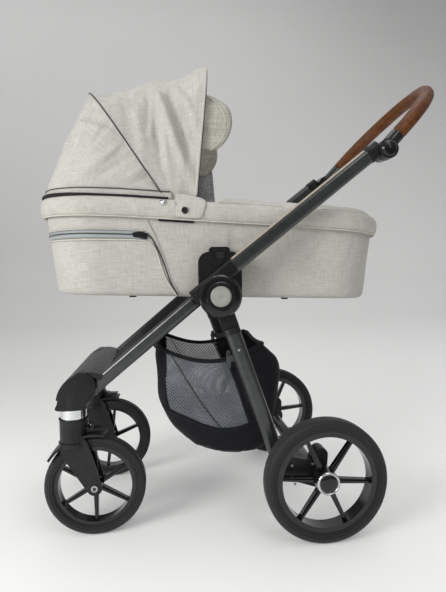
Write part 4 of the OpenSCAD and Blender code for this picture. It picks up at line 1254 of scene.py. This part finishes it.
def make_wheel_trim():
    for sign, side in ((-1, "left"), (1, "right")):
        for end in ("rear", "front"):
            lo, hi = extent(f"{end}_tyre_{side}")
            mid = (lo + hi) / 2
            R, half = (hi[2] - lo[2]) / 2, (hi[1] - lo[1]) / 2
            body = f"{end}_wheel_{side}"
            beads = ((R - 0.0135, half + 0.0002, 0.0016), (R - 0.0195, half + 0.0003, 0.0012))
            for k, (r, d, size) in enumerate(beads):
                for way, where in ((-1, "in"), (1, "out")):
                    name = f"{end}_tyre_bead_{side}_{k}_{where}"
                    add(ring(name, mid, bead(r, way * d, size), "tyre"), body)
            for k, d in enumerate((-0.008, 0.0, 0.008)):
                add(ring(f"{end}_tread_rib_{side}_{k}", mid, bead(R - 0.0011, d, 0.0013), "tyre"), body)
        lo, hi = extent("rear_cap_" + side)
        c = (lo + hi) / 2
        c[1] = lo[1] if sign > 0 else hi[1]
        dome = lathe("wheel_cap_dome_" + side, outwards(CAP_DOME, sign), c, "gloss_black", 64)
        add(dome, "rear_wheel_" + side)
        bright = ring("wheel_cap_ring_" + side, c, outwards(CAP_RING, sign), "chrome")
        add(bright, "rear_wheel_" + side)
        lo, hi = extent("front_axle_" + side)
        c = (lo + hi) / 2
        for way in (-1, 1):
            c2 = c.copy()
            c2[1] = hi[1] if way > 0 else lo[1]
            where = "in" if way * sign < 0 else "out"
            # painted shade: a shallow hex cup in near-black plastic on each end of the front axle; its dark
            # colour stands in for the shade in the bolt's hex recess
            socket = lathe(f"axle_bolt_socket_{side}_{where}", outwards(BOLT_RECESS_SHADE, way), c2,
                           "black_plastic", 6)
            add(socket, "fork_" + side)


def sloped(degrees):
    """Directions along a slope and square to it, both in the plane of x and z."""
    a = math.radians(degrees)
    return np.array([math.cos(a), 0, math.sin(a)]), np.array([-math.sin(a), 0, math.cos(a)])


# the handle tube's flat oval: y of its middle, half its flat height, radius of its round sides
TUBE_Y = 0.2355
TUBE_FLAT = 0.0075
TUBE_R = 0.0112
# screws and rivets: x, z, y, radius
SCREWS = ((-0.0722, 0.1714, 0.2592, 0.0034), (-0.0653, 0.1260, 0.2592, 0.0034),
          (-0.022, 0.172, 0.2592, 0.003), (-0.1928, 0.4490, 0.2437, 0.0032))


def make_frame_trim():
    run, rise = sloped(38.0)
    start = np.array(at(-0.2005, 0, 0.6465))
    for sign, side in ((-1, "left"), (1, "right")):
        # painted highlight: a pale strip along the upper outer edge of each handle tube stands in for the light
        # on its rounded top
        s = np.linspace(0.004, 0.412, 40)
        a = np.radians(np.linspace(6, 50, 7))
        P = (start + s[:, None, None] * run + (TUBE_FLAT + TUBE_R * np.cos(a))[None, :, None] * rise
             + np.array([0, sign, 0]) * (TUBE_Y + TUBE_R * np.sin(a))[None, :, None])
        if sign < 0:
            P = P[:, ::-1]
        add(sheet_mesh("tube_painted_highlight_" + side, P, "painted_highlight_strip", 0.0006), "handle")
        # ribs round the collar at the end of each handle tube
        for k in range(3):
            t = np.linspace(0, 2 * math.pi, 48, endpoint=False)
            up = np.sign(np.cos(t)) * (0.0078 * (np.abs(np.cos(t)) > 0.02) + 0.0118 * np.abs(np.cos(t)))
            out = 0.0118 * np.sin(t)
            base = start + run * (0.4165 + 0.004 * k)
            loop = base + up[:, None] * rise + np.array([0, 1, 0]) * (sign * TUBE_Y + out)[:, None]
            rib = tube(f"collar_rib_{side}_{k}", loop, 0.0008, "black_plastic", closed=True, sides=6)
            add(rib, "handle")
        # screws of the brake housing and the rivets of the leg and the front tube
        for k, (x, z, y, r) in enumerate(SCREWS):
            head = [(0.0001, -0.001), (r, -0.001), (r, 0.0008), (r * 0.8, 0.0014), (r * 0.5, 0.0014),
                    (r * 0.45, 0.0004), (0.0001, 0.0004)]
            screw = lathe(f"screw_{side}_{k}", outwards(head, sign), at(x, sign * y, z), "bolt", 24)
            add(screw, "rear_legs")


HEAD_COVER = [(-0.6195, 0.3125), (-0.6190, 0.3300), (-0.6130, 0.3520), (-0.6010, 0.3740), (-0.5860, 0.3900),
              (-0.5660, 0.4010), (-0.5460, 0.3960), (-0.5330, 0.3830), (-0.5300, 0.3600), (-0.5450, 0.3400),
              (-0.5560, 0.3200), (-0.5560, 0.3125)]


def make_head_covers():
    """Cap over each steering head, from the end of the bridge down to the sleeve, with a lip at its foot."""
    for sign, side in ((-1, "left"), (1, "right")):
        def swell(co):
            for p in co:
                u = p[0] - AX + 0.583
                p[1] *= 1 - 0.9 * u * u - 0.15 * max(p[2] - 0.37, 0)
            return co
        cover = plate("head_cover_" + side, resample(HEAD_COVER, 90, True), sign * 0.1380, sign * 0.2012,
                      "black_plastic", 0.006, swell)
        add(cover, "chassis")
        lo, hi = extent("suspension_sleeve_" + side)
        c = ((lo[0] + hi[0]) / 2, (lo[1] + hi[1]) / 2, 0.0)
        for name, z, r in (("head_lip", 0.3128, 0.0335), ("cup_lip", 0.2868, 0.0342)):
            a = np.linspace(0, 2 * math.pi, 72, endpoint=False)
            loop = np.stack([c[0] + r * np.cos(a), c[1] + r * np.sin(a), np.full(72, z)], axis=1)
            body = "chassis" if name == "head_lip" else "fork_" + side
            lip = tube(f"{name}_{side}", loop, 0.0013, "black_plastic", closed=True, sides=8)
            add(lip, body)


def make_grip_trim():
    """Seams and stitches along the leather of the grip."""
    run, rise = sloped(46.9)
    pivot = np.array(at(0.172, 0, 0.918))
    # half width of the bow, length of its straight arms, where the leather starts on them, radius of the grip
    half, arm, first, r = 0.207, 0.285 - 0.207, 0.063, 0.0165

    def path(n):
        """Middle line of the grip and its outward direction in the grip's plane."""
        leg = arm - first
        d = np.linspace(0.0, 1.0, n) * (2 * leg + math.pi * half)
        x, y, ox, oy = (np.zeros(n) for _ in range(4))
        for i, q in enumerate(d):
            if q < leg:
                x[i], y[i], ox[i], oy[i] = first + q, -half, 0, -1
            elif q > leg + math.pi * half:
                x[i], y[i], ox[i], oy[i] = arm - (q - leg - math.pi * half), half, 0, 1
            else:
                t = (q - leg) / half - math.pi / 2
                ox[i], oy[i] = math.cos(t), math.sin(t)
                x[i], y[i] = arm + half * ox[i], half * oy[i]
        return x, y, ox, oy

    def line(n, angle, lift):
        x, y, ox, oy = path(n)
        c, s = math.cos(angle) * (r + lift), math.sin(angle) * (r + lift)
        return (pivot + (x + ox * c * 0.97)[:, None] * run + rise * s * 1.06
                + np.array([0, 1, 0]) * (y + oy * c * 0.97)[:, None])

    x, y, ox, oy = path(260)
    t = np.linspace(0, 2 * math.pi, 40, endpoint=False)
    groove = 0.0012 * bell(np.degrees(t), 150, 7) + 0.0005 * bell(np.degrees(t), 62, 6)
    ends = smooth(0, 3, np.arange(260)) * smooth(259, 256, np.arange(260))
    across = (0.0160 * np.cos(t) * (1 - groove / r))[None, :] * (0.93 + 0.07 * ends)[:, None]
    high = (0.0178 * np.sin(t) * (1 - groove / r))[None, :] * (0.93 + 0.07 * ends)[:, None]
    P = pivot + (x[:, None] + ox[:, None] * across)[..., None] * run + high[..., None] * rise
    P = P + (y[:, None] + oy[:, None] * across)[..., None] * np.array([0, 1, 0])
    middle = pivot + x[:, None, None] * run + y[:, None, None] * np.array([0, 1, 0])
    P = middle + (P - middle) * (1 + wobble(P, 30, 0.03) + wobble(P, 9, 0.03, 4))[..., None]
    wrap = loop_mesh("grip_leather_wrap", P, "leather", close_u=False, caps=True)
    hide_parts("grip_leather")
    add(wrap, "grip")
    for k, deg in enumerate((62, 150)):
        seam = tube(f"grip_seam_{k}", line(220, math.radians(deg), 0.0001), 0.0008, "leather", sides=6)
        add(seam, "grip")
    # short stitches beside the inner seam, all in one mesh
    A, B = line(441, math.radians(144), 0.0003), line(441, math.radians(156), 0.0003)
    verts, faces = [], []
    for i in range(2, 438, 4):
        for L in (A, B):
            p, q = L[i], L[i + 2]
            t = (q - p) / np.linalg.norm(q - p)
            u = np.cross(t, rise)
            u /= np.linalg.norm(u)
            w = np.cross(u, t)
            base = len(verts)
            for e in (p, q):
                for a in range(6):
                    c = 2 * math.pi * a / 6
                    verts.append(e + 0.0006 * (math.cos(c) * u + math.sin(c) * w))
            for a in range(6):
                faces.append((base + a, base + (a + 1) % 6, base + 6 + (a + 1) % 6, base + 6 + a))
            faces.append(tuple(base + a for a in range(5, -1, -1)))
            faces.append(tuple(base + 6 + a for a in range(6)))
    stitches = link_mesh("grip_stitches", verts, faces, "pale_thread")
    fix_normals(stitches)
    add(stitches, "grip")


make_wheel_trim()
make_frame_trim()
make_head_covers()
make_grip_trim()
make_cot()
make_rim()
make_apron()
make_mattress()
make_hood()
make_visor()
make_side_trim()
make_basket()

# ---------------------------------------------------------------- stage and light

def make_stage():
    s = Shade("studio_paper", rough=0.7)
    p = s.coords((1, 1, 1))
    sep = s.node("ShaderNodeSeparateXYZ")
    s.link(p, sep.inputs[0])
    z = s.math("MULTIPLY", sep.outputs["Z"], 0.4, clamp=True)
    # painted shade: the paper's colour darkens from the floor up the wall, where less light falls
    tone = s.ramp(z, [(0.0, rgb("eaeae9")), (0.12, rgb("c6c6c5")), (0.5, rgb("b4b4b3")), (1.0, rgb("a2a2a1"))])
    s.colour(s.mix(s.math("MULTIPLY", s.noise(p, 3, 4, 0.6), 0.15), tone, rgb("cfcfce")))
    # painted light: the paper glows a little, as if under its own background lights; evenly at the front, and
    # further back brighter high on the left and low on the right
    left = s.ramp(z, [(0.0, 0.01), (0.32, 0.01), (0.92, 0.27)])
    right = s.ramp(z, [(0.0, 0.21), (0.32, 0.19), (0.92, 0.10)])
    across = s.math("MULTIPLY", s.math("ADD", sep.outputs["X"], 1.3), 0.36, clamp=True)
    depth = s.math("MULTIPLY", s.math("ADD", sep.outputs["Y"], 0.2), 0.6, clamp=True)
    away = s.ramp(depth, [(0.0, 0.0), (1.0, 1.0)])
    glow = s.mix(away, (0.18, 0.18, 0.18, 1), s.mix(across, left, right))
    s.link(glow, s.bsdf.inputs["Emission Color"])
    s.bsdf.inputs["Emission Strength"].default_value = 1.0
    s.bump(s.noise(p, 220, 3), 0.05, 0.0005)
    MATS["paper"] = s.mat
    xs = np.linspace(-4, 4, 9)
    prof = resample([(-4.0, 0.0), (-1.0, 0.0), (0.8, 0.0), (1.1, 0.01), (1.4, 0.05), (1.65, 0.14),
                     (1.83, 0.30), (1.93, 0.52), (1.96, 0.8), (1.97, 4.0)], 60)
    P = np.array([[(x, y, max(z, 0) - 0.0003) for y, z in prof] for x in xs])
    verts = P.reshape(-1, 3)
    ob = link_mesh("studio_floor", verts, grid_faces(*P.shape[:2]), "paper")


def softbox(name, energy, where, aim, size, colour=(1, 1, 1)):
    """Square area light that faces aim."""
    data = bpy.data.lights.new(name, "AREA")
    data.energy = energy
    data.color = colour
    data.shape = "RECTANGLE"
    data.size = size
    data.size_y = size
    ob = bpy.data.objects.new(name, data)
    bpy.context.scene.collection.objects.link(ob)
    ob.location = where
    ob.rotation_euler = (Vector(aim) - Vector(where)).to_track_quat("-Z", "Y").to_euler()


make_stage()
world = bpy.data.worlds.new("studio")
bpy.context.scene.world = world
world.use_nodes = True
sky = world.node_tree
way = sky.nodes.new("ShaderNodeTexCoord")
split = sky.nodes.new("ShaderNodeSeparateXYZ")
shade = sky.nodes.new("ShaderNodeValToRGB")
sky.links.new(way.outputs["Generated"], split.inputs[0])
sky.links.new(split.outputs["Z"], shade.inputs["Fac"])
sky.links.new(shade.outputs["Color"], sky.nodes["Background"].inputs[0])
shade.color_ramp.elements[0].color = (0.32, 0.325, 0.335, 1)
shade.color_ramp.elements[1].color = (1, 1, 1, 1)
shade.color_ramp.elements[1].position = 0.75
sky.nodes["Background"].inputs[1].default_value = 0.5
softbox("key", 48, (-2.1, -1.7, 1.35), (-0.1, 0, 0.6), 1.1, (1.0, 0.995, 0.98))
softbox("top", 17, (0.3, 0.2, 2.9), (0, 0, 0.2), 1.8)
softbox("front", 13, (0.7, -2.3, 2.4), (0, 0, 0.5), 1.2)
bpy.context.scene.view_settings.view_transform = "Standard"
